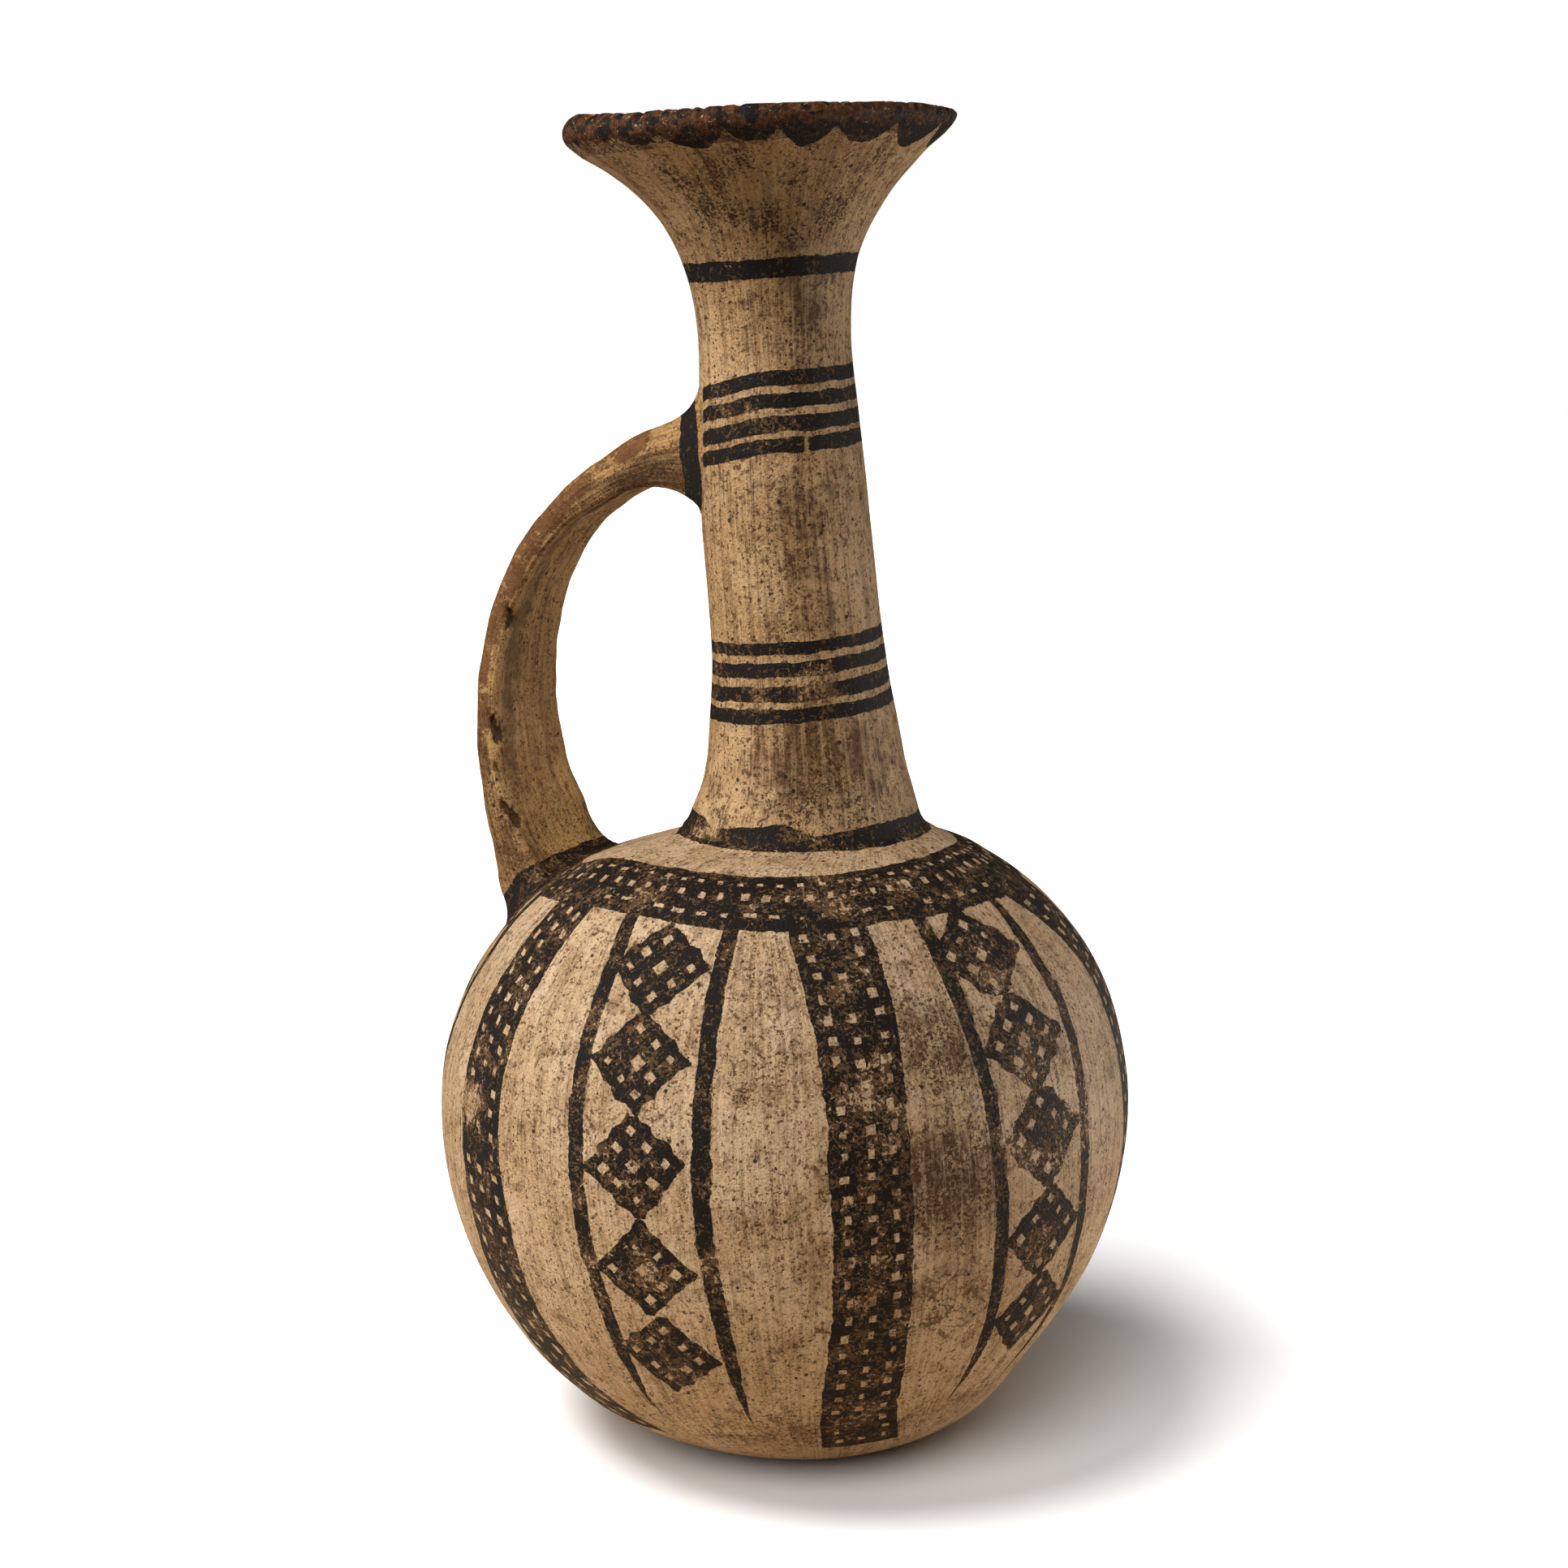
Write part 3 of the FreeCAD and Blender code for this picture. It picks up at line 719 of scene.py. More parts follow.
def finishPiece(shell, name, material, nodes, smoothAngle=40.0):
    mesh = bpy.data.meshes.new(name)
    for vert in shell.verts:
        vert.co *= mm
    for face in shell.faces:
        face.smooth = True
    for edge in shell.edges:
        edge.smooth = edge.calc_face_angle(0.0) < math.radians(smoothAngle)
    shell.to_mesh(mesh)
    shell.free()
    piece = bpy.data.objects.new(name, mesh)
    piece.data.materials.append(material)
    bpy.context.scene.collection.objects.link(piece)
    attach(piece, "root")
    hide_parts(*nodes)
    print(name, len(mesh.vertices), "points")
    return piece


def withRuns(line, startRun, inside=0.0):
    rows = []
    run = startRun
    for number, point in enumerate(line):
        if number:
            run += (point - line[number - 1]).length
        rows.append((point.x, point.y, run, inside))
    return rows


def turnOf(vert):
    return math.atan2(vert.co.x, -vert.co.y)


# degrees from the viewer: 0 faces the picture, and the picture's right is above 0
def seenTurn(turn):
    return (math.degrees(turn) - viewpoint["azimuth"] + 180.0) % 360.0 - 180.0


# the round wall's departures from a true circle, seen from the viewpoint
def strayAt(turn, height):
    seen = turn - math.radians(viewpoint["azimuth"])
    left = max(-math.sin(seen), 0.0) ** 2
    right = max(math.sin(seen), 0.0) ** 2
    front = max(math.cos(seen), 0.0) ** 2
    table = bodySizes["stray"]
    return (
        left * fromTable(table, height, 1) + front * fromTable(table, height, 2)
        + right * fromTable(table, height, 3)
    )


def shapeShell(shell, name, wobble):
    turnLayer = shell.verts.layers.float.new("turn")
    heightLayer = shell.verts.layers.float.new("height")
    radiusLayer = shell.verts.layers.float.new("radius")
    side = shell.verts.layers.float["inside"]
    for vert in shell.verts:
        radius = math.hypot(vert.co.x, vert.co.y)
        turn = turnOf(vert)
        vert[turnLayer] = turn
        vert[heightLayer] = vert.co.z
        vert[radiusLayer] = radius
        place = Vector(vert.co)
        vert.co = leanPlace(radius, turn, place.z)
        if vert[side] > 0.5:
            continue
        direction = Vector((math.sin(turn), -math.cos(turn), 0.0))
        if place.z > 1.0:
            vert.co += direction * handWobble(place, bodySizes["wobbleSize"], wobble)
        if name == "body":
            sideways = math.radians(viewpoint["azimuth"])
            shift = bodySizes["baseShift"] * (1.0 - smoothStep(0.0, bodySizes["baseShiftTop"], place.z))
            vert.co += Vector((math.cos(sideways), math.sin(sideways), 0.0)) * shift
            if radius > bodySizes["baseRadius"] - 2.0:
                vert.co += direction * strayAt(turn, place.z)
            if place.z > bodySizes["bellyHeight"]:
                sag = fromTable(bodySizes["sag"], seenTurn(turn))
                vert.co.z -= sag * fromTable(bodySizes["sagReach"], radius)


neckBandSizes = {
    "foot": 117.35,
    # top of the painted band round the neck's foot: degrees from the viewer and height
    "top": [
        (-180, 121.4), (-120, 121.8), (-74, 122.2), (-62, 122.0), (-50, 120.4), (-37, 121.2), (-17, 122.2),
        (-10, 122.3), (-2, 121.2), (3, 120.4), (11, 120.1), (28, 121.0), (49, 121.3), (70, 120.9),
        (120, 121.3), (180, 121.4),
    ],
}
neckPaint = {
    # width of one degree in the neck's flat layout, in mm
    "degree": 0.27,
    # height and half width of the lines round the neck
    "lowLines": [(153.95, 1.17), (150.1, 1.33), (145.8, 1.4), (141.9, 1.35)],
    "highLines": [(201.75, 1.3), (197.85, 1.3), (193.75, 1.42), (190.0, 1.36)],
    "flareLine": (220.85, 1.72),
    # how the lines stray up and down: degrees from the viewer, low group and high group
    "stray": [
        (-180, -0.3, 0.0), (-156, -0.4, -2.0), (-75, -0.55, -2.7), (-60, -0.35, -1.9), (-43, -0.2, -1.35),
        (-30, -0.1, -0.75), (-17, 0.0, -0.1), (0, 0.0, 0.05), (30, 0.25, 0.0), (80, 0.45, 0.15),
        (130, 0.2, 0.3), (180, -0.3, 0.0),
    ],
    # heights over which each group's straying sets in or dies out
    "lowEnds": (160.0, 180.0),
    "highStarts": (170.0, 184.0),
    "highEnds": (203.0, 212.0),
    # the high lines stop on both sides of the handle, and one of them, counted from the top, breaks once
    "stop": -115.0,
    "stopHalf": 43.5,
    "stopSoft": 1.6,
    "breakAt": 18.5,
    "breakHalf": 1.8,
    "breakSoft": 0.8,
    "breakRagged": 2.5,
    "brokenLine": 3,
    # the paint inside the mouth comes down to this height
    "insideFoot": 241.0,
    # scallops under the lip: angle and height of each cusp, and the lowest height after it
    "scallops": [
        (-160, 243.0, 241.2), (-137, 243.2, 241.4), (-112, 244.0, 242.6), (-88, 245.7, 245.1),
        (-66, 245.5, 244.2), (-46, 245.3, 242.7), (-30, 244.8, 241.3), (-10, 244.4, 241.6),
        (5.5, 244.0, 240.5), (22, 244.0, 240.7), (43.5, 243.8, 239.7), (67.5, 243.6, 239.8),
        (90, 243.4, 239.8), (112, 242.2, 240.3), (134, 242.4, 240.6), (157, 242.6, 240.9),
        (178, 242.8, 241.0),
    ],
    "rubbed": [
        (9, 147, 7, 0.7), (-20, 147, 6, 0.3), (-36, 197, 7, 0.35), (-12, 192, 6, 0.2), (-34, 145, 5, 0.2),
        (-55, 119, 9, 0.7), (2, 119, 9, 0.5), (-66, 149, 8, 0.3), (-3, 241.5, 9, 1.2), (30, 244, 8, 0.3),
    ],
    # where the slip is darkened to brown
    "darkened": [
        (-30, 232, 7, 0.08), (8, 226, 8, 0.08), (35, 234, 8, 0.08), (25, 215, 8, 0.26), (18, 207, 9, 0.16),
        (12, 177, 13, 0.2), (20, 164, 10, 0.14), (12, 133, 17, 0.26), (-14, 133, 12, 0.18),
        (45, 132, 9, 0.14), (60, 183, 5, 0.12),
    ],
    # "blotched" is never more than this
    "mostBlotched": 0.135,
    "blotched": [
        (-40, 237, 4, 0.2), (-31, 233, 5, 0.24), (-21, 237, 4, 0.2), (-10, 239, 4, 0.2), (-16, 230, 4, 0.14),
        (-3, 229, 4, 0.2), (12, 226, 4, 0.12), (33, 230, 5, 0.16), (-56, 240, 4, 0.12), (44, 238, 5, 0.1),
        (10, 236, 5, 0.1), (20, 210, 8, 0.06), (12, 130, 9, 0.06), (-5, 125, 6, 0.06), (30, 124, 6, 0.06),
    ],
}


# painted columns of the body: arc up the wall from the belly in mm, then the left and right edges
# in degrees from the viewer; even columns are chequered bands, odd ones lozenges between two lines
columnRuns = {
    -2: [
        (-62, -57.5, -32.0), (-52, -58.7, -38.4), (-41, -60.5, -44.4), (-28, -62.7, -48.2),
        (-12, -62.0, -49.2), (2, -63.2, -50.7), (15, -64.9, -52.0), (31, -66.0, -52.2), (41, -65.2, -51.4),
        (50, -64.5, -50.3),
    ],
    -1: [
        (-62, -26.0, -5.5), (-48, -27.7, -7.0), (-36, -29.1, -8.6), (-21, -30.6, -10.4), (-10, -32.4, -11.8),
        (0, -33.2, -12.6), (18, -34.7, -13.0), (31, -35.2, -12.7), (40, -35.7, -12.3), (49, -37.8, -11.3),
    ],
    0: [
        (-62, 7.0, 28.3), (-54, 7.0, 25.6), (-45, 6.9, 22.8), (-36, 6.8, 21.5), (-20, 7.4, 20.2),
        (-10, 7.3, 19.8), (5, 6.5, 19.3), (16, 6.3, 19.2), (27, 5.3, 19.5), (34, 4.0, 19.5),
        (41, 2.4, 19.2), (49, 0.2, 18.4),
    ],
    1: [
        (-62, 36.0, 51.5), (-46, 36.6, 54.4), (-36, 37.3, 56.2), (-26, 36.9, 57.6), (-15, 36.0, 56.0),
        (-8, 35.5, 55.2), (4, 34.5, 54.9), (16, 33.7, 56.0), (28, 32.5, 57.1), (36, 31.8, 56.5),
        (44, 31.3, 57.4), (50, 31.0, 58.1),
    ],
    2: [
        (-62, 70.0, 93.5), (-40, 72.0, 89.5), (0, 73.5, 87.0), (29, 73.6, 87.5), (37, 71.8, 88.0),
        (44, 67.5, 88.5), (50, 63.0, 88.0),
    ],
}
paintSizes = {
    "columns": 10,
    "spacing": 38.5,
    "bandEdge": 7.1,
    "frameLine": 11.6,
    "windowColumn": 4.3,
    "windowRow": 3.85,
    # a lozenge's cell, the least paint round a window, and the arcs where a column starts and ends
    "cell": 4.1,
    "leastFrame": 0.75,
    # in cells: a lozenge's half width, how far its strokes stick out, and how far the hand strays
    "lozengeHalf": 1.61,
    "strokeEnds": 0.42,
    "windowShift": 0.16,
    "cellWander": 0.2,
    "bandFoot": -60.0,
    "columnTop": 54.0,
    # patterns lie this many cells apart in their layout, and each reaches this many
    "patternApart": 20.0,
    "patternReach": 9.0,
    # slope of the window rows and arc of one row, per chequered band
    "rowSlope": {-2: -0.2, 0: 0.09, 2: 0.1},
    "rowStart": {-2: 1.0, 0: -2.7, 2: 0.6},
    "ringWindows": 63,
    "ringCell": 4.4,
    "ringWidth": 13.4,
    # its rows of windows, from the lowest: share of the ring where the row starts, the windows' middle,
    # half their height, and half their width in cells
    "ringRows": [(0.0, 0.23, 0.031, 0.24), (0.39, 0.545, 0.055, 0.165), (0.675, 0.795, 0.033, 0.185)],
    # painted ring round the handle's foot: mm from the foot, and half width
    "handleRing": (0.8, 2.9),
    # slope and start of the rows in the bands that don't show, per band
    "hiddenSlope": (0.02, -0.05),
    "hiddenStart": 0.4,
    # shoulder ring: degrees from the viewer, arc of its lower and its upper edge
    "ring": [
        (-180, 48.8, 60.8), (-110, 47.5, 58.5), (-78.6, 46.6, 57.0), (-61.4, 48.0, 61.4), (-50.3, 49.3, 62.2),
        (-36.3, 49.6, 62.8), (-14.3, 48.4, 62.0), (-1.6, 48.4, 61.9), (10.2, 49.0, 62.3), (24.4, 49.5, 63.3),
        (43.5, 49.5, 64.4), (64, 49.8, 64.9), (110, 49.4, 63.0), (180, 48.8, 60.8),
    ],
    # middle of each lozenge: degrees from the viewer, arc, turn in degrees, size of a cell
    "lozenges": {
        -1: [
            (-25.2, 39.9, 3, 4.1), (-24.6, 23.1, 5, 4.05), (-23.5, 5.3, 8, 4.15), (-22.2, -13.5, 2, 4.1),
            (-20.3, -31.2, -3, 4.1),
        ],
        1: [
            (41.9, 40.6, -2, 4.4), (43.9, 23.7, 2, 4.4), (44.5, 6.8, 2, 4.4), (45.6, -11.2, 0, 4.3),
            (47.1, -28.2, 0, 4.2),
        ],
    },
    # where more of the paint is rubbed off: degrees from the viewer, arc, reach in mm and amount
    "rubbed": [
        (14, 17, 14, 0.38), (13, -12, 10, 0.3), (14, -29, 6, 0.2), (-61, 8, 6, 1.2), (12, 56, 8, 0.4),
        (30, 57, 6, 0.25), (42, 36, 10, 0.35), (45, 20, 10, 0.3), (45, 3, 9, 0.25), (46, -14, 9, 0.25),
        (35, 4, 12, 0.3), (56, 8, 15, 0.35), (-22, -15, 8, 0.35), (-16, -38, 6, 0.55), (-35, 28, 6, 0.3),
        (-30, -12, 6, 0.25), (13, -47, 8, 0.25), (-40, 55, 6, 0.2), (9, 36, 5, 0.3), (-12, -12, 5, 0.3),
        (-105, 50, 22, 0.5),
    ],
    # where the slip is darkened to brown, and where it is crazed
    "darkened": [
        (27, 26, 15, 0.26), (26, 2, 16, 0.32), (27, -18, 12, 0.1), (50, 20, 9, 0.14), (5, -52, 12, 0.16),
        (-12, -54, 10, 0.12), (28, -54, 10, 0.12), (-3, 40, 8, 0.1), (-42, 10, 10, 0.05), (-62, 50, 8, 0.05),
        (-7, 18.5, 3.0, 0.26), (2, -10, 8, 0.06), (-2, 0, 10, 0.08), (-45, -20, 8, 0.06), (-3, 24, 8, 0.1),
        (0, -30, 7, 0.12), (47, -50, 10, 0.1),
    ],
    "crazed": [
        (28, 5, 17, 1.0), (26, -22, 14, 0.9), (-5, -50, 14, 0.7), (-20, 50, 8, 0.3), (62, -5, 12, 0.5),
    ],
}
hiddenColumns = {"from": 80.4, "step": 37.1, "jitter": 1.2}


def drawnEdges(column, arc):
    return fromTable(columnRuns[column], arc), fromTable(columnRuns[column], arc, 2)


# left and right edge of a painted column in degrees, for any column from -6 to 6
def columnEdges(column, arc):
    if column in columnRuns:
        return drawnEdges(column, arc)
    onwards = column if column > 0 else column + paintSizes["columns"]
    middle = hiddenColumns["from"] + hiddenColumns["step"] * (onwards - 2)
    middle += hiddenColumns["jitter"] * noise.noise(Vector((arc / 30.0, onwards * 3.7, 0.0)))
    pair = (-1, 1) if column % 2 else (-2, 0)
    edges = [drawnEdges(known, arc) for known in pair]
    half = sum(right - left for left, right in edges) / 4.0
    if column < 0:
        middle -= 360.0
    return middle - half, middle + half


# flat layout of the columns: pairs of angle and millimetres for one arc
def columnStops(arc):
    stops = []
    for column in range(-6, 7):
        left, right = columnEdges(column, arc)
        edge = paintSizes["frameLine"] if column % 2 else paintSizes["bandEdge"]
        stops.append((left, column * paintSizes["spacing"] - edge))
        stops.append((right, column * paintSizes["spacing"] + edge))
    return stops


# every lozenge: degrees from the viewer, arc, turn, size of a cell and its own number
def lozengeList():
    draw = random.Random(7)
    each = len(paintSizes["lozenges"][-1])
    marks = []
    for column in (-5, -3, -1, 1, 3):
        known = paintSizes["lozenges"].get(column)
        for number, (angle, arc, turn, size) in enumerate(known or paintSizes["lozenges"][-1]):
            if not known:
                angle = sum(columnEdges(column, arc)) / 2.0
                arc += draw.uniform(-0.9, 0.9)
                turn = draw.uniform(-7.0, 7.0)
            marks.append((angle, arc, turn, size, column % paintSizes["columns"] * each + number))
    # the column behind the jug is met from both sides
    marks += [(angle + 360.0, *rest) for angle, *rest in marks[:each]]
    return marks


# every corner of every face gets its place in the flat layouts that the paint is drawn on
def layOutBodyPaint(shell):
    turnLayer = shell.verts.layers.float["turn"]
    alongLayer = shell.verts.layers.float["along"]
    insideLayer = shell.verts.layers.float["inside"]
    radiusLayer = shell.verts.layers.float["radius"]
    heightLayer = shell.verts.layers.float["height"]
    wear = shell.verts.layers.float.new("rubbed")
    stain = shell.verts.layers.float.new("darkened")
    crazed = shell.verts.layers.float.new("crazed")
    neckBand = shell.verts.layers.float.new("neckBand")
    paint = shell.loops.layers.uv.new("paintLayout")
    pattern = shell.loops.layers.uv.new("patternLayout")
    ring = shell.loops.layers.uv.new("ringLayout")
    outer = [vert for vert in shell.verts if vert[insideLayer] < 0.5]
    belly = min(outer, key=lambda vert: abs(vert[heightLayer] - bodySizes["bellyHeight"]))[alongLayer]
    bandFoot = min(outer, key=lambda vert: abs(vert[heightLayer] - neckBandSizes["foot"]))[alongLayer]
    spacing = paintSizes["spacing"]
    stops = {}
    marks = lozengeList()
    info = {}
    for vert in outer:
        arc = vert[alongLayer] - belly
        seen = seenTurn(vert[turnLayer])
        key = round(arc, 2)
        if key not in stops:
            stops[key] = columnStops(arc)
        low = fromTable(paintSizes["ring"], seen)
        high = fromTable(paintSizes["ring"], seen, 2)
        info[vert] = (seen, arc, fromTable(stops[key], seen), (arc - low) / (high - low))
        radius = vert[radiusLayer]
        vert[wear] = spotted(paintSizes["rubbed"], seen, arc, radius)
        vert[stain] = spotted(paintSizes["darkened"], seen, arc, radius)
        vert[crazed] = min(spotted(paintSizes["crazed"], seen, arc, radius), 1.0)
        vert[neckBand] = vert[alongLayer] - bandFoot
    for face in shell.faces:
        if any(vert not in info for vert in face.verts):
            continue
        angles = [info[vert][0] for vert in face.verts]
        wrap = max(angles) - min(angles) > 180.0
        flat = []
        for vert in face.verts:
            seen, arc, across, share = info[vert]
            if wrap and seen < 0.0:
                seen += 360.0
                across += paintSizes["columns"] * spacing
            flat.append((seen, arc, across, share, vert[radiusLayer]))
        middleAngle, middleArc, middleAcross, _, middleRadius = (sum(part) / len(flat) for part in zip(*flat))
        column = round(middleAcross / spacing)
        if column % 2:
            mark = min(
                marks,
                key=lambda m: math.hypot(math.radians(m[0] - middleAngle) * middleRadius, m[1] - middleArc),
            )
        for loop, (seen, arc, across, share, radius) in zip(face.loops, flat):
            loop[paint].uv = (across, arc)
            loop[ring].uv = (seen / 360.0 * paintSizes["ringWindows"], share)
            if column % 2:
                loop[pattern].uv = lozengePlace(mark, seen, arc, radius)
            else:
                loop[pattern].uv = bandPlace(column, across - column * spacing, arc)


# where a point is in a lozenge's own cells, along its two slanting sides
def lozengePlace(mark, seen, arc, radius):
    angle, middle, turn, size, number = mark
    sideways = math.radians(seen - angle) * radius
    upwards = arc - middle
    slant = math.radians(45.0 + turn)
    first = (sideways * math.cos(slant) + upwards * math.sin(slant)) / size
    second = (upwards * math.cos(slant) - sideways * math.sin(slant)) / size
    reach = paintSizes["patternReach"]
    shift = paintSizes["patternApart"] * number
    return max(min(first, reach), -reach) + shift, max(min(second, reach), -reach)


# where a point is in a chequered band's cells
def bandPlace(column, local, arc):
    columns = paintSizes["columns"]
    known = (column + columns // 2) % columns - columns // 2
    slopeStep, slopeStart = paintSizes["hiddenSlope"]
    slope = paintSizes["rowSlope"].get(known, slopeStep * (known % 7) + slopeStart)
    start = paintSizes["rowStart"].get(known, paintSizes["hiddenStart"] * known)
    row = (arc - slope * local - start) / paintSizes["windowRow"]
    return local / paintSizes["windowColumn"] + paintSizes["patternApart"] * (column % columns), row


# the sum of the marks that reach a place; each is (angle, arc, reach, amount)
def spotted(marks, seen, arc, radius):
    total = 0.0
    for angle, height, reach, amount in marks:
        away = abs((seen - angle + 180.0) % 360.0 - 180.0)
        distance = math.hypot(math.radians(away) * radius, arc - height)
        if distance < reach:
            total += amount * (1.0 - smoothStep(0.25 * reach, reach, distance))
    return total


bodyColours = {
    "slip": (0.49, 0.33, 0.185, 1.0),
    "pale": (0.69, 0.515, 0.345, 1.0),
    "stain": (0.12, 0.053, 0.015, 1.0),
    "pit": (0.028, 0.017, 0.009, 1.0),
    "paint": (0.0135, 0.0088, 0.006, 1.0),
    "rubbed": (0.145, 0.08, 0.034, 1.0),
    "wear": 0.5,
}


# a painted stripe: above 0 within half its width of the level, all in mm
def stripe(value, level, half):
    return half - abs(value - level)


# where the paint of the columns is: chequered bands, and lozenges between two lines; in mm, above 0 inside
def columnPaint(tree, across, along, wander):
    spacing = paintSizes["spacing"]
    column = wholePart(across * (1.0 / spacing) + 0.5)
    local = abs(across - column * spacing)
    odd = abs(maths(tree, "MODULO", column, 2.0))
    # cells of the bands and lozenges, with a window in each
    cells = layoutAt(tree, "patternLayout")
    apart = paintSizes["patternApart"]
    seed = wholePart(cells[0] * (1.0 / apart) + 0.5)
    first = cells[0] - seed * apart + wander["Across"] * paintSizes["cellWander"]
    second = cells[1] + wander["Along"] * paintSizes["cellWander"]
    cellX = wholePart(first + 0.5)
    cellY = wholePart(second + 0.5)
    drawn = cellNumbers(cellX, cellY, seed)
    shift = cellNumbers(cellY, seed, cellX)
    offX = first - cellX + (shift[0] - 0.5) * paintSizes["windowShift"]
    offY = second - cellY + (shift[1] - 0.5) * paintSizes["windowShift"]
    atMiddle = maths(tree, "LESS_THAN", abs(cellX) + abs(cellY), 0.5)
    bigger = atMiddle * odd * 0.07
    openX = drawn[0] * 0.09 + odd * 0.025 + 0.1 + bigger - abs(offX)
    openY = drawn[1] * 0.11 - odd * 0.015 + 0.13 + bigger - abs(offY)
    window = least(openX, openY) * paintSizes["cell"]
    # no window outside the three by three of a lozenge, and few where the paint has run over
    outside = most(over(abs(cellX), 1.5), odd * over(abs(cellY), 1.5))
    shut = over(drawn[2], 0.96 - attribute(tree, "rubbed") * 0.5)
    window = window - most(outside, shut) * 9.0
    # lozenge sides: the ends of the crossing strokes stick out unevenly
    strokeX = cellNumbers(wholePart(first), seed, 3.0)[0]
    strokeY = cellNumbers(wholePart(second), seed, 8.0)[0]
    ends = paintSizes["strokeEnds"]
    reachY = maths(tree, "PINGPONG", first, 0.5) * (strokeX * ends) + paintSizes["lozengeHalf"]
    reachX = maths(tree, "PINGPONG", second, 0.5) * (strokeY * ends) + paintSizes["lozengeHalf"]
    lozenge = least(reachX - abs(first), reachY - abs(second)) * paintSizes["cell"]
    band = least(paintSizes["bandEdge"] - local, along - paintSizes["bandFoot"])
    block = odd * lozenge + (1.0 - odd) * band
    window = least(window, block - paintSizes["leastFrame"])
    inside = least(block, window * -1.0)
    # the two lines beside each lozenge column, wide at the top and pointed at the foot
    half = fade(along, 20.0, 48.0, 1.55, 2.1) + fade(along, -30.0, -58.0, 0.0, -1.9)
    frameLine = stripe(local, paintSizes["frameLine"], half) + (odd - 1.0) * 9.0
    return least(most(inside, frameLine), paintSizes["columnTop"] - along)


# the ring round the shoulder, with three rows of windows
def ringPaint(tree, wander):
    ring = layoutAt(tree, "ringLayout")
    share = ring[1] + wander["Along"] * 0.075
    rows = paintSizes["ringRows"]
    row = 0.0
    _, centre, tall, wide = rows[0]
    for before, after in zip(rows, rows[1:]):
        reached = over(share, after[0])
        row = reached + row
        centre = reached * (after[1] - before[1]) + centre
        tall = reached * (after[2] - before[2]) + tall
        wide = reached * (after[3] - before[3]) + wide
    step = ring[0] + row * 0.37 + wander["Across"] * 0.22
    cell = wholePart(step)
    drawn = cellNumbers(maths(tree, "WRAP", cell, float(paintSizes["ringWindows"]), 0.0), row, 5.0)
    openAcross = wide * (drawn[1] * 0.5 + 0.65) - abs(step - cell - (drawn[0] * 0.14 + 0.43))
    openAlong = tall - abs(share - (drawn[2] * 0.03 + (centre - 0.015)))
    windows = least(openAcross * paintSizes["ringCell"], openAlong * paintSizes["ringWidth"])
    edges = least(share, 1.0 - share) * paintSizes["ringWidth"]
    return least(edges, windows * -1.0)


def makeBodyMaterial():
    material, tree, place, wander = startMaterial("paintedBody", 0.3, 0.16)
    flat = layoutAt(tree, "paintLayout")
    inside = columnPaint(tree, flat[0] + wander["Across"], flat[1] + wander["Along"], wander)
    inside = most(inside, ringPaint(tree, wander))
    # band round the neck's foot and ring round the handle's foot
    inside = most(inside, attribute(tree, "neckBand") + wander["Along"])
    handleRing = stripe(attribute(tree, "fromHandle"), *paintSizes["handleRing"])
    inside = most(inside, handleRing + wander["Across"])
    inside = inside - attribute(tree, "inside") * 30.0
    darkened = attribute(tree, "darkened")
    rubbed = attribute(tree, "rubbed")
    ground = clayUnder(tree, place, flat, bodyColours, {
        "Darkened": darkened, "Blotched": darkened * 0.4, "Crazed": attribute(tree, "crazed"),
        "Streaked": 0.6, "Specks": 0.55, "Pitted": 0.6,
    })
    paintOver(material, place, ground, inside, rubbed + bodyColours["wear"], bodyColours)
    return material


def buildBody():
    joint = neckSizes["jointHeight"]
    outside = shoulderLine() + cutLine(smoothLine(neckSizes["outline"]), joint)[0][1:]
    rows = withRuns(evenSteps(outside, bodySizes["rowStep"]), 0.0)
    foot = neckSizes["footRadius"]
    rows.append((foot, joint - neckSizes["jointLap"], rows[-1][2], 1.0))
    rows += withRuns(evenSteps(innerBodyLine(), bodySizes["innerStep"]), 0.0, 1.0)
    shell = spinShell(rows, bodySizes["columns"], False)
    shapeShell(shell, "body", bodySizes["wobble"])
    layOutBodyPaint(shell)
    return finishPiece(shell, "jug_body", makeBodyMaterial(), ["lower_body", "upper_body"])


def scallopEdge(seen):
    marks = neckPaint["scallops"]
    marks = marks + [(marks[0][0] + 360.0, marks[0][1], marks[0][2])]
    if seen < marks[0][0]:
        seen += 360.0
    for (start, cusp, lowest), (end, nextCusp, _) in zip(marks, marks[1:]):
        if seen <= end:
            share = (seen - start) / (end - start)
            straight = cusp + (nextCusp - cusp) * share
            depth = (cusp + nextCusp) / 2.0 - lowest
            return straight - depth * math.sin(math.pi * share) ** 0.7
    return marks[0][1]


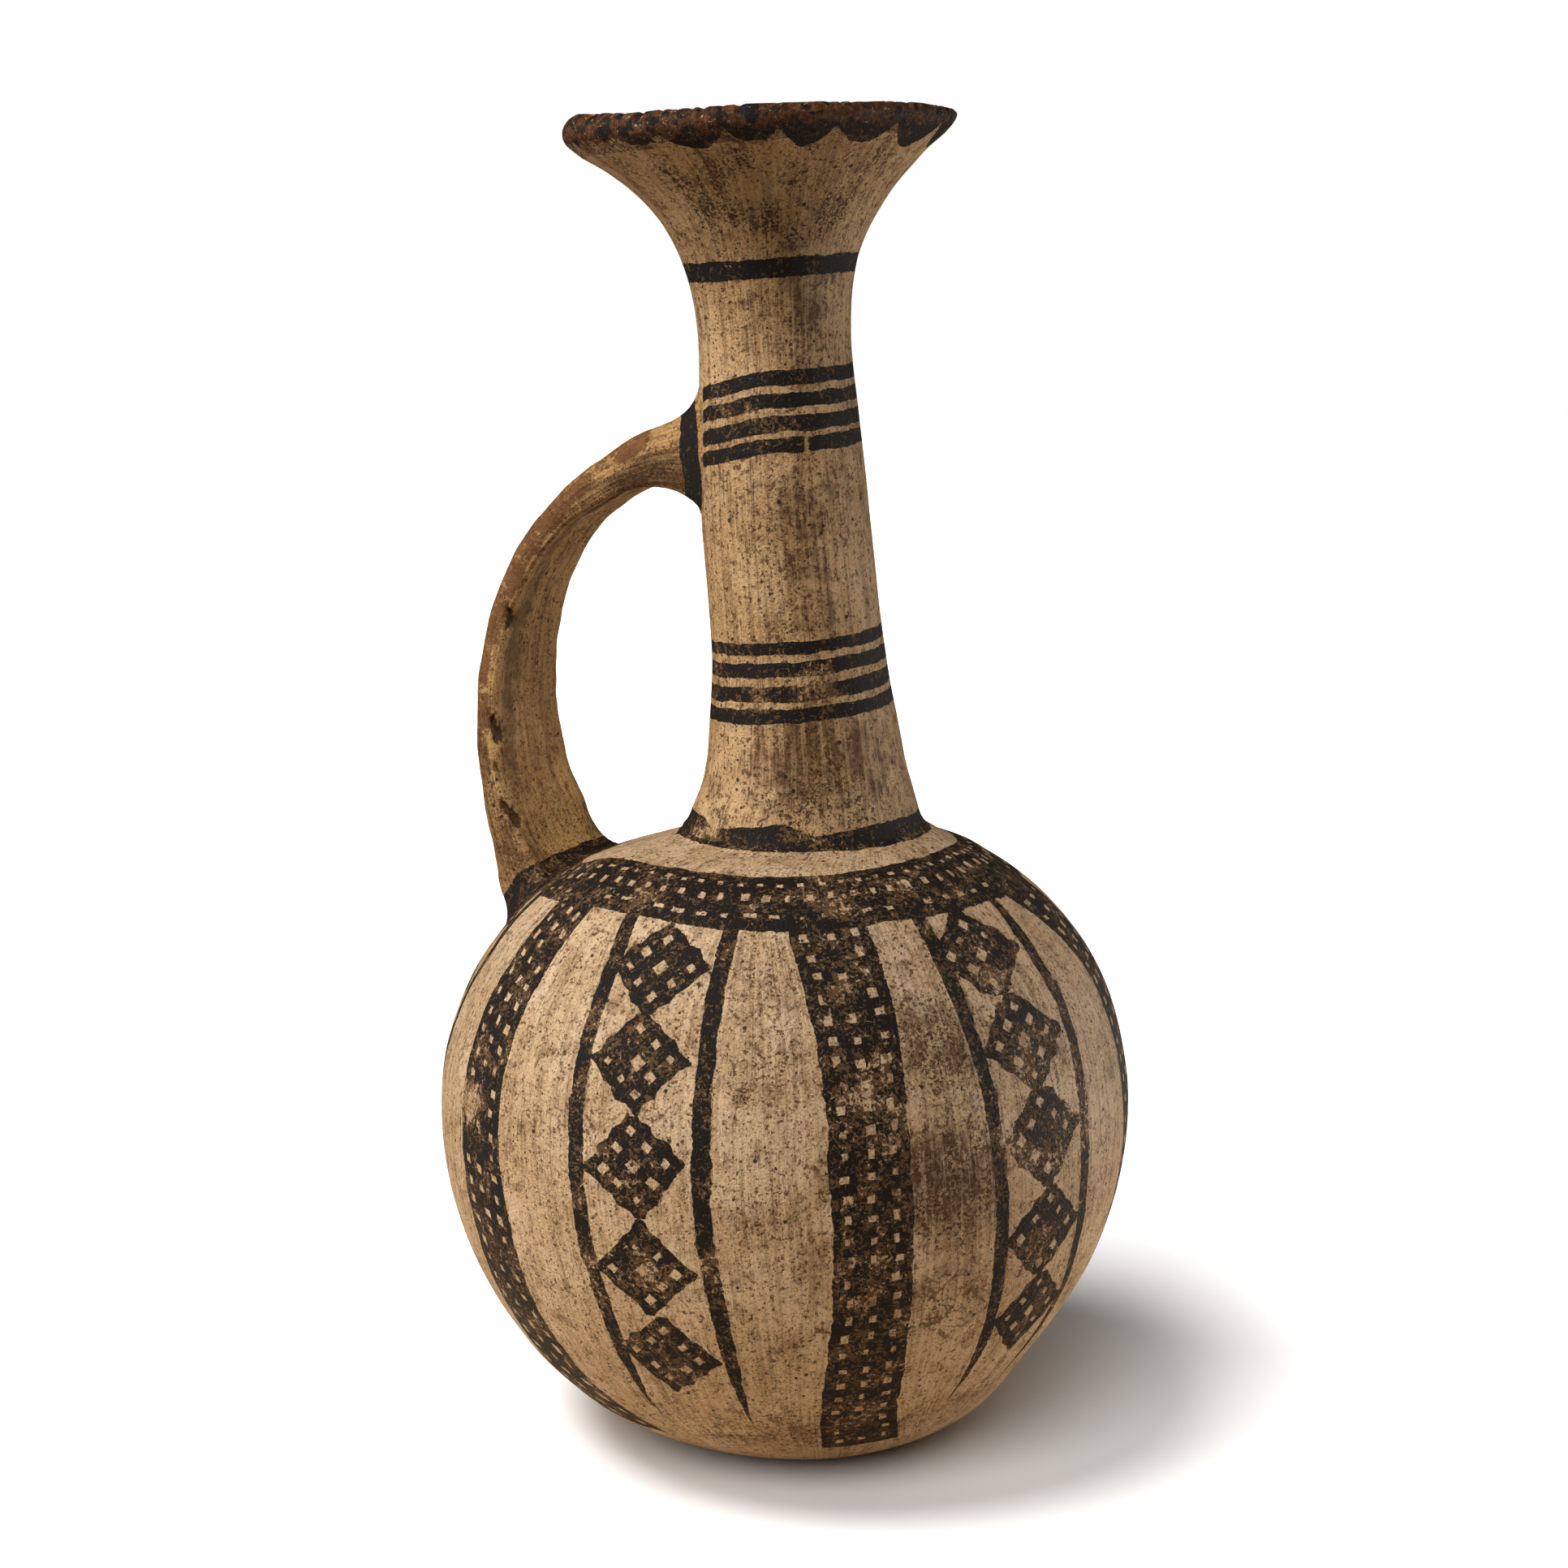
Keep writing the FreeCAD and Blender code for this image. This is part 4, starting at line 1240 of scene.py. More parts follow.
# flat layout of the neck or lip: millimetres round, and height with the lines' straying taken out
def layOutNeckPaint(shell):
    turnLayer = shell.verts.layers.float["turn"]
    insideLayer = shell.verts.layers.float["inside"]
    radiusLayer = shell.verts.layers.float["radius"]
    heightLayer = shell.verts.layers.float["height"]
    wear = shell.verts.layers.float.new("rubbed")
    stain = shell.verts.layers.float.new("darkened")
    blotch = shell.verts.layers.float.new("blotched")
    neckBand = shell.verts.layers.float.new("neckBand")
    rimBand = shell.verts.layers.float.new("rimBand")
    paint = shell.loops.layers.uv.new("paintLayout")
    info = {}
    for vert in shell.verts:
        seen = seenTurn(vert[turnLayer])
        height = vert[heightLayer]
        low = fromTable(neckPaint["stray"], seen) * (1.0 - smoothStep(*neckPaint["lowEnds"], height))
        high = fromTable(neckPaint["stray"], seen, 2) * smoothStep(*neckPaint["highStarts"], height)
        high *= 1.0 - smoothStep(*neckPaint["highEnds"], height)
        info[vert] = (seen, height - low - high)
        radius = vert[radiusLayer]
        vert[wear] = spotted(neckPaint["rubbed"], seen, height, radius)
        vert[stain] = spotted(neckPaint["darkened"], seen, height, radius)
        vert[blotch] = min(spotted(neckPaint["blotched"], seen, height, radius), neckPaint["mostBlotched"])
        vert[neckBand] = fromTable(neckBandSizes["top"], seen) - height
        vert[rimBand] = height - scallopEdge(seen)
        if vert[insideLayer] > 0.5:
            vert[neckBand] = -5.0
            vert[rimBand] = height - neckPaint["insideFoot"]
    for face in shell.faces:
        angles = [info[vert][0] for vert in face.verts]
        wrap = max(angles) - min(angles) > 180.0
        for loop in face.loops:
            seen, height = info[loop.vert]
            if wrap and seen < 0.0:
                seen += 360.0
            loop[paint].uv = (seen * neckPaint["degree"], height)


neckColours = {
    "slip": (0.44, 0.275, 0.13, 1.0),
    "pale": (0.6, 0.415, 0.235, 1.0),
    "stain": (0.105, 0.048, 0.016, 1.0),
    "pit": (0.026, 0.015, 0.007, 1.0),
    "paint": (0.0135, 0.0088, 0.006, 1.0),
    "rubbed": (0.145, 0.08, 0.034, 1.0),
    "wear": 0.22,
}


def makeNeckMaterial():
    material, tree, place, wander = startMaterial("paintedNeck", 0.22, 0.13)
    flat = layoutAt(tree, "paintLayout")
    across = flat[0] + wander["Across"]
    height = flat[1] + wander["Along"]
    degree = neckPaint["degree"]
    inside = stripe(height, *neckPaint["flareLine"])
    for level, half in neckPaint["lowLines"]:
        inside = most(inside, stripe(height, level, half))
    fromStop = maths(tree, "WRAP", across - neckPaint["stop"] * degree, 180.0 * degree, -180.0 * degree)
    stop = abs(fromStop) - neckPaint["stopHalf"] * degree
    ragged = wander["Along"] * neckPaint["breakRagged"]
    fromBreak = abs(across + ragged - neckPaint["breakAt"] * degree) - neckPaint["breakHalf"] * degree
    for number, (level, half) in enumerate(neckPaint["highLines"]):
        line = maths(tree, "SMOOTH_MIN", stripe(height, level, half), stop, neckPaint["stopSoft"])
        if number == neckPaint["brokenLine"]:
            line = maths(tree, "SMOOTH_MIN", line, fromBreak, neckPaint["breakSoft"])
        inside = most(inside, line)
    inside = least(inside, 30.0 - attribute(tree, "inside") * 60.0)
    for band in ("neckBand", "rimBand"):
        inside = most(inside, attribute(tree, band) + wander["Along"])
    ground = clayUnder(tree, place, flat, neckColours, {
        "Darkened": attribute(tree, "darkened"), "Blotched": attribute(tree, "blotched"),
        "Streaked": 0.75, "Specks": 0.65, "Pitted": 0.7,
    })
    wear = attribute(tree, "rubbed") + neckColours["wear"]
    paintOver(material, place, ground, inside, wear, neckColours)
    return material


def buildNeck():
    joint = neckSizes["jointHeight"]
    outside = cutLine(smoothLine(neckSizes["outline"]), joint)[1]
    rows = withRuns(evenSteps(outside, neckSizes["rowStep"]), 0.0)
    inside = smoothLine(neckSizes["innerOutline"])
    rows += withRuns(evenSteps(inside, neckSizes["innerStep"]), 0.0, 1.0)
    bore = neckSizes["bore"]
    foot = neckSizes["footRadius"]
    bottom = neckSizes["footHeight"]
    lap = joint - neckSizes["jointLap"]
    for radius, height in ((bore, neckSizes["boreRow"]), (bore, bottom), (foot, bottom), (foot, lap)):
        rows.append((radius, height, 0.0, 1.0))
    shell = spinShell(rows, neckSizes["columns"], True)
    shapeShell(shell, "neck", neckSizes["wobble"])
    layOutNeckPaint(shell)
    nodes = ["neck", "neck_collar", "mouth_funnel"]
    return finishPiece(shell, "jug_neck", makeNeckMaterial(), nodes)


# the lip is thick on one side and thin on the other, wavy, and chipped along its edge
def shapeLip(shell):
    start = Vector(lipSizes["outline"][0])
    slope = math.radians(lipSizes["slope"])
    out = Vector((math.sin(slope), math.cos(slope)))
    inward = Vector((-math.cos(slope), math.sin(slope)))
    edge = shell.verts.layers.float.new("edge")
    for vert in shell.verts:
        turn = turnOf(vert)
        radius = math.hypot(vert.co.x, vert.co.y)
        place = Vector((radius, vert.co.z)) - start
        reach = place.dot(out)
        thick = place.dot(inward)
        grown = smoothStep(0.0, lipSizes["grownAt"], reach)
        vert[edge] = lipSizes["wearMost"] * smoothStep(*lipSizes["wearReach"], reach)
        seen = seenTurn(turn)
        thick *= 1.0 + (fromTable(lipSizes["uneven"], seen) - 1.0) * grown
        reach += fromTable(lipSizes["uneven"], seen, 2) * grown
        around = Vector((math.sin(turn), math.cos(turn), 0.0)) * lipSizes["waves"]
        reach += grown * lipSizes["wave"] * noise.noise(around)
        chip = noise.noise(around * lipSizes["chipsCloser"] + Vector((5.0, 0.0, 0.0)))
        reach -= grown * lipSizes["chips"] * max(chip - lipSizes["chipLimit"], 0.0)
        place = start + out * reach + inward * thick
        vert.co = (place.x * math.sin(turn), -place.x * math.cos(turn), place.y)


lipColours = {
    "red": (0.075, 0.028, 0.01, 1.0),
    "redPale": (0.18, 0.075, 0.026, 1.0),
    "fleck": (0.5, 0.33, 0.2, 1.0),
    "paint": (0.014, 0.009, 0.006, 1.0),
    "rubbed": (0.12, 0.055, 0.021, 1.0),
    "wear": 0.5,
}


# the lip's paint is worn through to reddish clay along the edge
def makeLipMaterial():
    material, tree, place, wander = startMaterial("wornLip", 0.2, 0.2)
    flat = layoutAt(tree, "paintLayout")
    ground = clayUnder(tree, place, flat, neckColours, {
        "Darkened": 0.18, "Blotched": 0.06, "Streaked": 0.1, "Specks": 0.8, "Pitted": 1.0,
    })
    edge = attribute(tree, "edge")
    ragged = cloud(place, 1.6, 4.0, 0.65) * 1.6 + edge
    mottle = fade(cloud(place, 0.9, 3.0, 0.6), 0.4, 0.66)
    red = mixColour(tree, mottle, lipColours["red"], lipColours["redPale"])
    red = mixColour(tree, fade(cloud(place, 2.6, 3.0, 0.6), 0.48, 0.6), red, lipColours["paint"])
    red = mixColour(tree, fade(cloud(place, 1.1, 3.0, 0.7), 0.64, 0.68), red, lipColours["fleck"])
    ground["Colour"] = mixColour(tree, fade(ragged, 1.0, 1.22), ground["Colour"], red)
    inside = least(attribute(tree, "rimBand") + wander["Along"], 5.0 - ragged * 4.0)
    paintOver(material, place, ground, inside, edge * 0.5 + lipColours["wear"], lipColours, 1.0)
    return material


def buildLip():
    line = evenSteps(smoothLine(lipSizes["outline"]), lipSizes["rowStep"])
    rows = withRuns(line, 0.0)
    shell = spinShell(rows, lipSizes["columns"], True)
    shapeLip(shell)
    shapeShell(shell, "lip", lipSizes["wobble"])
    layOutNeckPaint(shell)
    return finishPiece(shell, "jug_lip", makeLipMaterial(), ["rim_lip"])


handleSizes = {
    # middle line from the neck's axis to inside the shoulder: x, z, width, thickness, twist
    "stations": [
        (1.0, 188.3, 16.4, 15.0, 0.0), (-13.9, 188.1, 16.6, 14.3, 0.0), (-23.7, 186.5, 16.7, 11.0, 0.0),
        (-34.2, 182.2, 16.9, 8.2, 0.0), (-44.6, 174.6, 17.5, 6.7, 2.0), (-51.8, 165.0, 18.4, 6.5, 5.0),
        (-56.6, 152.5, 19.0, 6.5, 9.0), (-58.4, 139.1, 20.2, 6.8, 12.0), (-57.2, 125.8, 22.0, 7.3, 13.0),
        (-53.8, 114.6, 24.0, 10.0, 12.0), (-49.5, 103.9, 26.0, 15.6, 9.0), (-43.3, 91.3, 27.0, 18.4, 6.0),
    ],
    # half outline of the strap, as shares of thickness (outward) and width (away from the viewer)
    "section": [
        (0.5, 0.0), (0.47, -0.26), (0.33, -0.43), (0.0, -0.5), (-0.34, -0.485), (-0.46, -0.44),
        (-0.42, -0.37), (-0.37, -0.24), (-0.36, 0.0), (-0.41, 0.24), (-0.43, 0.36), (-0.32, 0.46),
        (0.0, 0.5), (0.33, 0.43), (0.47, 0.26),
    ],
    # points of a smoothed line from one given point to the next
    "steps": 12,
    "sides": 96,
    "rings": 200,
    "rootY": -2.19,
    "rootFillet": 9.0,
    "footFillet": 5.0,
    # extra length of the fillet under the root and on the foot's inner side
    "rootUnder": 4.0,
    "footInner": 5.0,
    "filletRings": 9,
    # way round the strap in mm, height between its ends, and run over which its bumps set in
    "girth": 48.0,
    "halfway": 150.0,
    "ease": 4.0,
    # size and height of the strap's bumps
    "bumps": [(9.0, 0.22), (3.0, 0.07)],
    # the fillet's edge is sunk into the wall, and its hidden skirt goes on down and outwards
    "sunk": 0.25,
    "skirt": 1.2,
    "skirtOut": 0.3,
}


def vesselTree(pieces):
    points = []
    faces = []
    for piece in pieces:
        first = len(points)
        points += [vert.co / mm for vert in piece.data.vertices]
        faces += [[first + index for index in face.vertices] for face in piece.data.polygons]
    return BVHTree.FromPolygons(points, faces)


# middle line of the strap, with its width, thickness and twist at each place
def handleMiddle():
    stations = handleSizes["stations"]
    start = stations[0][0]
    foot = stations[-2][0]
    steps = handleSizes["steps"]
    line = smoothLine([(row[0], row[1]) for row in stations], steps)
    places = []
    for number, point in enumerate(line):
        row = min(number // steps, len(stations) - 2)
        part = smoothStep(0.0, 1.0, number / steps - row)
        sizes = [stations[row][k] + (stations[row + 1][k] - stations[row][k]) * part for k in (2, 3, 4)]
        sideways = handleSizes["rootY"] * (point.x - foot) / (start - foot)
        places.append((Vector((point.x, sideways, point.y)), sizes))
    return places


def sectionPoints():
    loop = handleSizes["section"]
    steps = handleSizes["steps"]
    # two more points at each end make the seam as smooth as the rest
    line = smoothLine(loop[-2:] + loop + loop[:3], steps)[2 * steps : -2 * steps]
    return evenSteps(line, lineRuns(line)[-1] / handleSizes["sides"])[: handleSizes["sides"]]


# one line along the strap for each point of its section
def handleRails(outline):
    places = handleMiddle()
    rails = [[] for _ in outline]
    for number, (place, (width, thickness, twist)) in enumerate(places):
        before = places[max(number - 1, 0)][0]
        after = places[min(number + 1, len(places) - 1)][0]
        ahead = (after - before).normalized()
        outward = Vector((0, 1, 0)).cross(ahead).normalized()
        away = ahead.cross(outward).normalized()
        turn = math.radians(twist)
        turned = outward * math.cos(turn) + away * math.sin(turn)
        across = away * math.cos(turn) - outward * math.sin(turn)
        for rail, point in zip(rails, outline):
            rail.append(place + turned * (point.x * thickness) + across * (point.y * width))
    return rails


# follows a rail until it meets the vessel's wall
def railToWall(tree, rail):
    line = []
    for start, end in zip(rail, rail[1:]):
        line.append(start)
        step = end - start
        hit, normal, _, _ = tree.ray_cast(start, step.normalized(), step.length)
        if hit is not None:
            line.append(hit)
            return line, hit, normal
    raise ValueError("the strap misses the vessel")


# takes a length off the end of a line
def trimmed(line, length):
    runs = lineRuns(line)
    goal = runs[-1] - length
    kept = []
    for number, point in enumerate(line):
        if runs[number] >= goal:
            share = (goal - runs[number - 1]) / max(runs[number] - runs[number - 1], 1e-9)
            kept.append(line[number - 1].lerp(point, share))
            break
        kept.append(point)
    return kept


# the clay smoothed onto the wall at either end of the strap
def filletPoints(tree, start, hit, normal, centre, fillet):
    outward = hit - centre
    outward = (outward - normal * outward.dot(normal)).normalized()
    goal, goalNormal, _, _ = tree.find_nearest(hit + outward * fillet)
    goal = goal - goalNormal * handleSizes["sunk"]
    points = []
    for number in range(1, handleSizes["filletRings"] + 1):
        t = number / handleSizes["filletRings"]
        points.append(start * (1 - t) ** 2 + hit * (2 * t * (1 - t)) + goal * t ** 2)
    points.append(goal - goalNormal * handleSizes["skirt"] - outward * handleSizes["skirtOut"])
    return points


def handleRings(tree):
    rails = handleRails(sectionPoints())
    half = len(rails[0]) // 2
    ends = {"root": [], "foot": []}
    for rail in rails:
        ends["root"].append(railToWall(tree, rail[half::-1]))
        ends["foot"].append(railToWall(tree, rail[half:]))
    centres = {}
    for end, found in ends.items():
        centres[end] = sum((hit for _, hit, _ in found), Vector()) / len(found)
    rows = []
    for number in range(len(rails)):
        parts = {}
        for end in ("root", "foot"):
            line, hit, normal = ends[end][number]
            aside = (hit - centres[end]).normalized()
            extra = {"root": -aside.z * handleSizes["rootUnder"], "foot": aside.x * handleSizes["footInner"]}
            fillet = handleSizes[end + "Fillet"] + max(extra[end], 0.0)
            line = trimmed(line, fillet)
            parts[end] = (line, filletPoints(tree, line[-1], hit, normal, centres[end], fillet))
        middle = parts["root"][0][::-1] + parts["foot"][0][1:]
        middle = evenSteps(middle, lineRuns(middle)[-1] / handleSizes["rings"])
        rows.append(parts["root"][1][::-1] + middle + parts["foot"][1])
    return rows


handlePaint = {
    # from the neck's wall: near and far edge of the root ring, in mm
    "rootRing": (6.2, 11.2),
    # from the shoulder's wall: top of the band round the foot
    "footBand": 9.0,
    # places on the strap: share round it, mm from the root, reach round and along, amount
    "reddened": [
        (0.2, 54, 0.2, 30, 1.3), (0.12, 24, 0.14, 9, 1.2), (0.24, 84, 0.14, 16, 0.8),
        (0.03, 60, 0.15, 44, 0.9), (0.62, 84, 0.12, 40, 0.3),
    ],
    # painted shade along the groove beside the strap's ridge
    "shadedGroove": [(0.44, 58, 0.06, 44, 0.9), (0.43, 92, 0.045, 26, 0.4)],
    "darkened": [
        (0.47, 30, 0.05, 7, 0.9), (0.5, 45, 0.1, 30, 0.12), (0.34, 17, 0.16, 14, 0.6),
        (0.25, 104, 0.16, 26, 0.3), (0.3, 36, 0.1, 14, 0.2),
    ],
    # chips knocked out of the ridge: share, mm from the root, reach, depth
    "chips": [
        (0.37, 62, 2.6, 1.3), (0.37, 84, 3.1, 1.5), (0.365, 101, 2.9, 1.4), (0.38, 48, 1.4, 0.6),
        (0.35, 116, 1.6, 0.7), (0.38, 55, 1.1, 0.5), (0.36, 92, 1.4, 0.6),
    ],
}


# strength of the marks at a place on the strap
def strapMarks(marks, share, run):
    total = 0.0
    for around, along, wide, long, amount in marks:
        away = abs((share - around + 0.5) % 1.0 - 0.5)
        distance = math.hypot(away / wide, (run - along) / long)
        total += amount * (1.0 - smoothStep(0.45, 1.0, distance))
    return min(total, 1.0)


# how deep the strap's near edge is chipped at a place
def chipDepth(share, run):
    depth = 0.0
    for around, along, reach, deep in handlePaint["chips"]:
        away = ((share - around + 0.5) % 1.0 - 0.5) * handleSizes["girth"]
        place = Vector((away, run - along, 0.0))
        ragged = reach * (1.0 + 0.5 * noise.noise(Vector((share * 60.0, run * 0.9, 0.0))))
        depth = max(depth, deep * (1.0 - smoothStep(0.35 * ragged, ragged, place.length)))
    return depth


def buildHandle(pieces):
    tree = vesselTree(pieces)
    rows = handleRings(tree)
    sides = len(rows)
    last = len(rows[0]) - 1
    shell = bmesh.new()
    fromRoot = shell.verts.layers.float.new("fromRoot")
    fromFoot = shell.verts.layers.float.new("fromFoot")
    painted = ("reddened", "shadedGroove", "darkened")
    layers = {name: shell.verts.layers.float.new(name) for name in (*painted, "chipped")}
    layout = shell.loops.layers.uv.new("paintLayout")
    bmesh.ops.create_grid(shell, x_segments=sides, y_segments=last, size=1.0)
    runs = [lineRuns(row) for row in rows]
    places = {}
    for vert in shell.verts:
        across = round((vert.co.x + 1.0) / 2.0 * sides)
        along = round((vert.co.y + 1.0) / 2.0 * last)
        places[vert] = (across, along)
    for face in shell.faces:
        for loop in face.loops:
            across, along = places[loop.vert]
            loop[layout].uv = (across / sides, along / last)
    for vert, (across, along) in places.items():
        side = across % sides
        run = runs[side][along] - runs[side][1]
        vert[fromRoot] = run
        vert[fromFoot] = runs[side][-2] - runs[side][along]
        share = side / sides
        for name in painted:
            vert[layers[name]] = strapMarks(handlePaint[name], share, run)
        vert.co = rows[side][along]
    shell.normal_update()
    bmesh.ops.remove_doubles(shell, verts=shell.verts, dist=1e-5)
    rims = [edge for edge in shell.edges if edge.is_boundary]
    for upper in (True, False):
        rim = [edge for edge in rims if (edge.verts[0].co.z > handleSizes["halfway"]) == upper]
        bmesh.ops.contextual_create(shell, geom=rim)
    bmesh.ops.recalc_face_normals(shell, faces=shell.faces)
    shell.normal_update()
    moves = []
    for vert in shell.verts:
        if vert[fromRoot] < handleSizes["rootFillet"] or vert[fromFoot] < handleSizes["footFillet"]:
            continue
        share = min(loop[layout].uv.x for loop in vert.link_loops)
        depth = chipDepth(share, vert[fromRoot])
        vert[layers["chipped"]] = min(depth, 1.0)
        bumps = sum(handWobble(vert.co, size, height) for size, height in handleSizes["bumps"])
        fromEnd = min(vert[fromRoot] - handleSizes["rootFillet"], vert[fromFoot] - handleSizes["footFillet"])
        eased = min(fromEnd / handleSizes["ease"], 1.0)
        moves.append((vert, vert.normal * (bumps - depth) * eased))
    for vert, move in moves:
        vert.co += move
    ends = [row[-2] for row in rows]
    nodes = ["strap_handle", "handle_root_collar", "handle_foot_collar"]
    handle = finishPiece(shell, "jug_handle", makeHandleMaterial(), nodes, 75.0)
    return handle, ends


# how far each point of the body is from the handle's foot, for the painted ring round it
def markHandleFoot(piece, ends):
    search = KDTree(len(ends))
    for number, place in enumerate(ends):
        search.insert(place * mm, number)
    search.balance()
    layer = piece.data.attributes.new("fromHandle", "FLOAT", "POINT")
    distances = [min(search.find(vert.co)[2] / mm, 20.0) for vert in piece.data.vertices]
    layer.data.foreach_set("value", distances)


handleColours = {
    "slip": (0.39, 0.225, 0.088, 1.0),
    "pale": (0.54, 0.345, 0.15, 1.0),
    "stain": (0.125, 0.057, 0.019, 1.0),
    "pit": (0.026, 0.016, 0.009, 1.0),
    "paint": (0.0135, 0.0088, 0.006, 1.0),
    "rubbed": (0.115, 0.06, 0.026, 1.0),
    "red": (0.15, 0.06, 0.018, 1.0),
    # colour of the painted shade in the groove
    "grooveShadeColour": (0.13, 0.076, 0.024, 1.0),
    "broken": (0.07, 0.036, 0.013, 1.0),
    "wear": 0.2,
    "footWear": 0.55,
}


def makeHandleMaterial():
    material, tree, place, wander = startMaterial("wornHandle", 0.25, 0.16)
    around = layoutAt(tree, "paintLayout")[0] * handleSizes["girth"]
    fromRoot = attribute(tree, "fromRoot")
    fromFoot = attribute(tree, "fromFoot")
    chipped = attribute(tree, "chipped")
    darkened = attribute(tree, "darkened")
    ground = clayUnder(tree, place, (around, fromRoot), handleColours, {
        "Darkened": darkened, "Blotched": darkened * 0.2, "Streaked": 0.8, "Specks": 0.55, "Pitted": 0.6,
    })
    # slip rubbed off to the reddish clay, painted shade in the groove beside the ridge, and raw clay in the
    # chips
    grain = cloud(place, 0.7, 3.0, 0.65)
    blotch = cloud(place, 4.0, 3.0, 0.6)
    redness = fade(attribute(tree, "reddened") * 0.42 + (grain * 0.5 + blotch), 0.98, 1.14, 0.0, 0.82)
    grooveShade = fade(attribute(tree, "shadedGroove") * 0.5 + (grain * 0.4 + blotch), 0.85, 1.3, 0.0, 0.8)
    raw = fade(chipped + (grain - 0.5), 0.35, 0.6, 0.0, 0.9)
    for share, name in ((redness, "red"), (grooveShade, "grooveShadeColour"), (raw, "broken")):
        ground["Colour"] = mixColour(tree, share, ground["Colour"], handleColours[name])
    near, far = handlePaint["rootRing"]
    inside = stripe(fromRoot + wander["Along"], (near + far) / 2.0, (far - near) / 2.0)
    inside = most(inside, handlePaint["footBand"] - (fromFoot + wander["Across"]))
    wear = chipped + fade(fromFoot, 14.0, 9.0, handleColours["wear"], handleColours["footWear"])
    paintOver(material, place, ground, inside, wear, handleColours, 1.0)
    return material


def seenByCamera(tree):
    return nodeValue(tree, addNode(tree, "ShaderNodeLightPath").outputs["Is Camera Ray"])


# the stage: white paper below and white behind
stageSizes = {
    "floorSize": 6.0,
    "aimHeight": 0.11,
    "floorColour": (0.86, 0.86, 0.86, 1.0),
    "floorRoughness": 0.9,
    # what the floor throws back at the jug: near it, far from it, and where that changes in metres
    "nearBounce": (0.56, 0.46, 0.34, 1.0),
    "farBounce": (0.03, 0.03, 0.03, 1.0),
    "bounceReach": (0.12, 0.42),
    "backdrop": 1.0,
    "backdropColour": (1.0, 1.0, 1.0, 1.0),
    "fill": 0.045,
    "fillColour": (1.0, 0.8, 0.55, 1.0),
    "gamma": 0.87,
}
# lights: degrees from the viewer, height, distance, width, tall, power
lamps = {
    "leftSoftbox": (-84.0, 0.42, 0.85, 0.35, 0.8, 6.2),
    "rightSoftbox": (104.0, 0.07, 0.5, 0.2, 0.2, 1.75),
    "topSoftbox": (-30.0, 0.84, 0.6, 0.35, 0.35, 8.8),
    # a small card that lights only the handle's inner face
    "handleCard": (62.0, 0.2, 0.5, 0.2, 0.3, 1.2),
}
# suns that light the floor alone: degrees from the viewer, degrees up, softness, strength
floorSuns = {
    "shadowSun": (-60.0, 63.0, 26.0, 3.7),
    "evenSun": (0.0, 89.0, 106.0, 0.6),
    "lowSun": (-18.0, 37.0, 34.0, 2.5),
}


def buildFloor():
    mesh = bpy.data.meshes.new("floor")
    floor = bmesh.new()
    bmesh.ops.create_grid(floor, x_segments=1, y_segments=1, size=stageSizes["floorSize"])
    floor.to_mesh(mesh)
    floor.free()
    piece = bpy.data.objects.new("floor", mesh)
    material = bpy.data.materials.new("floorPaper")
    material.use_nodes = True
    tree = material.node_tree
    away = addNode(tree, "ShaderNodeVectorMath", operation="LENGTH")
    join(tree, objectPlace(tree), away.inputs[0])
    far = fade(nodeValue(tree, away.outputs["Value"]), *stageSizes["bounceReach"])
    bounce = mixColour(tree, far, stageSizes["nearBounce"], stageSizes["farBounce"])
    shader = tree.nodes["Principled BSDF"]
    colour = mixColour(tree, seenByCamera(tree), bounce, stageSizes["floorColour"])
    join(tree, colour, shader.inputs["Base Color"])
    shader.inputs["Roughness"].default_value = stageSizes["floorRoughness"]
    shader.inputs["Specular IOR Level"].default_value = 0.0
    piece.data.materials.append(material)
    bpy.context.scene.collection.objects.link(piece)
    return piece


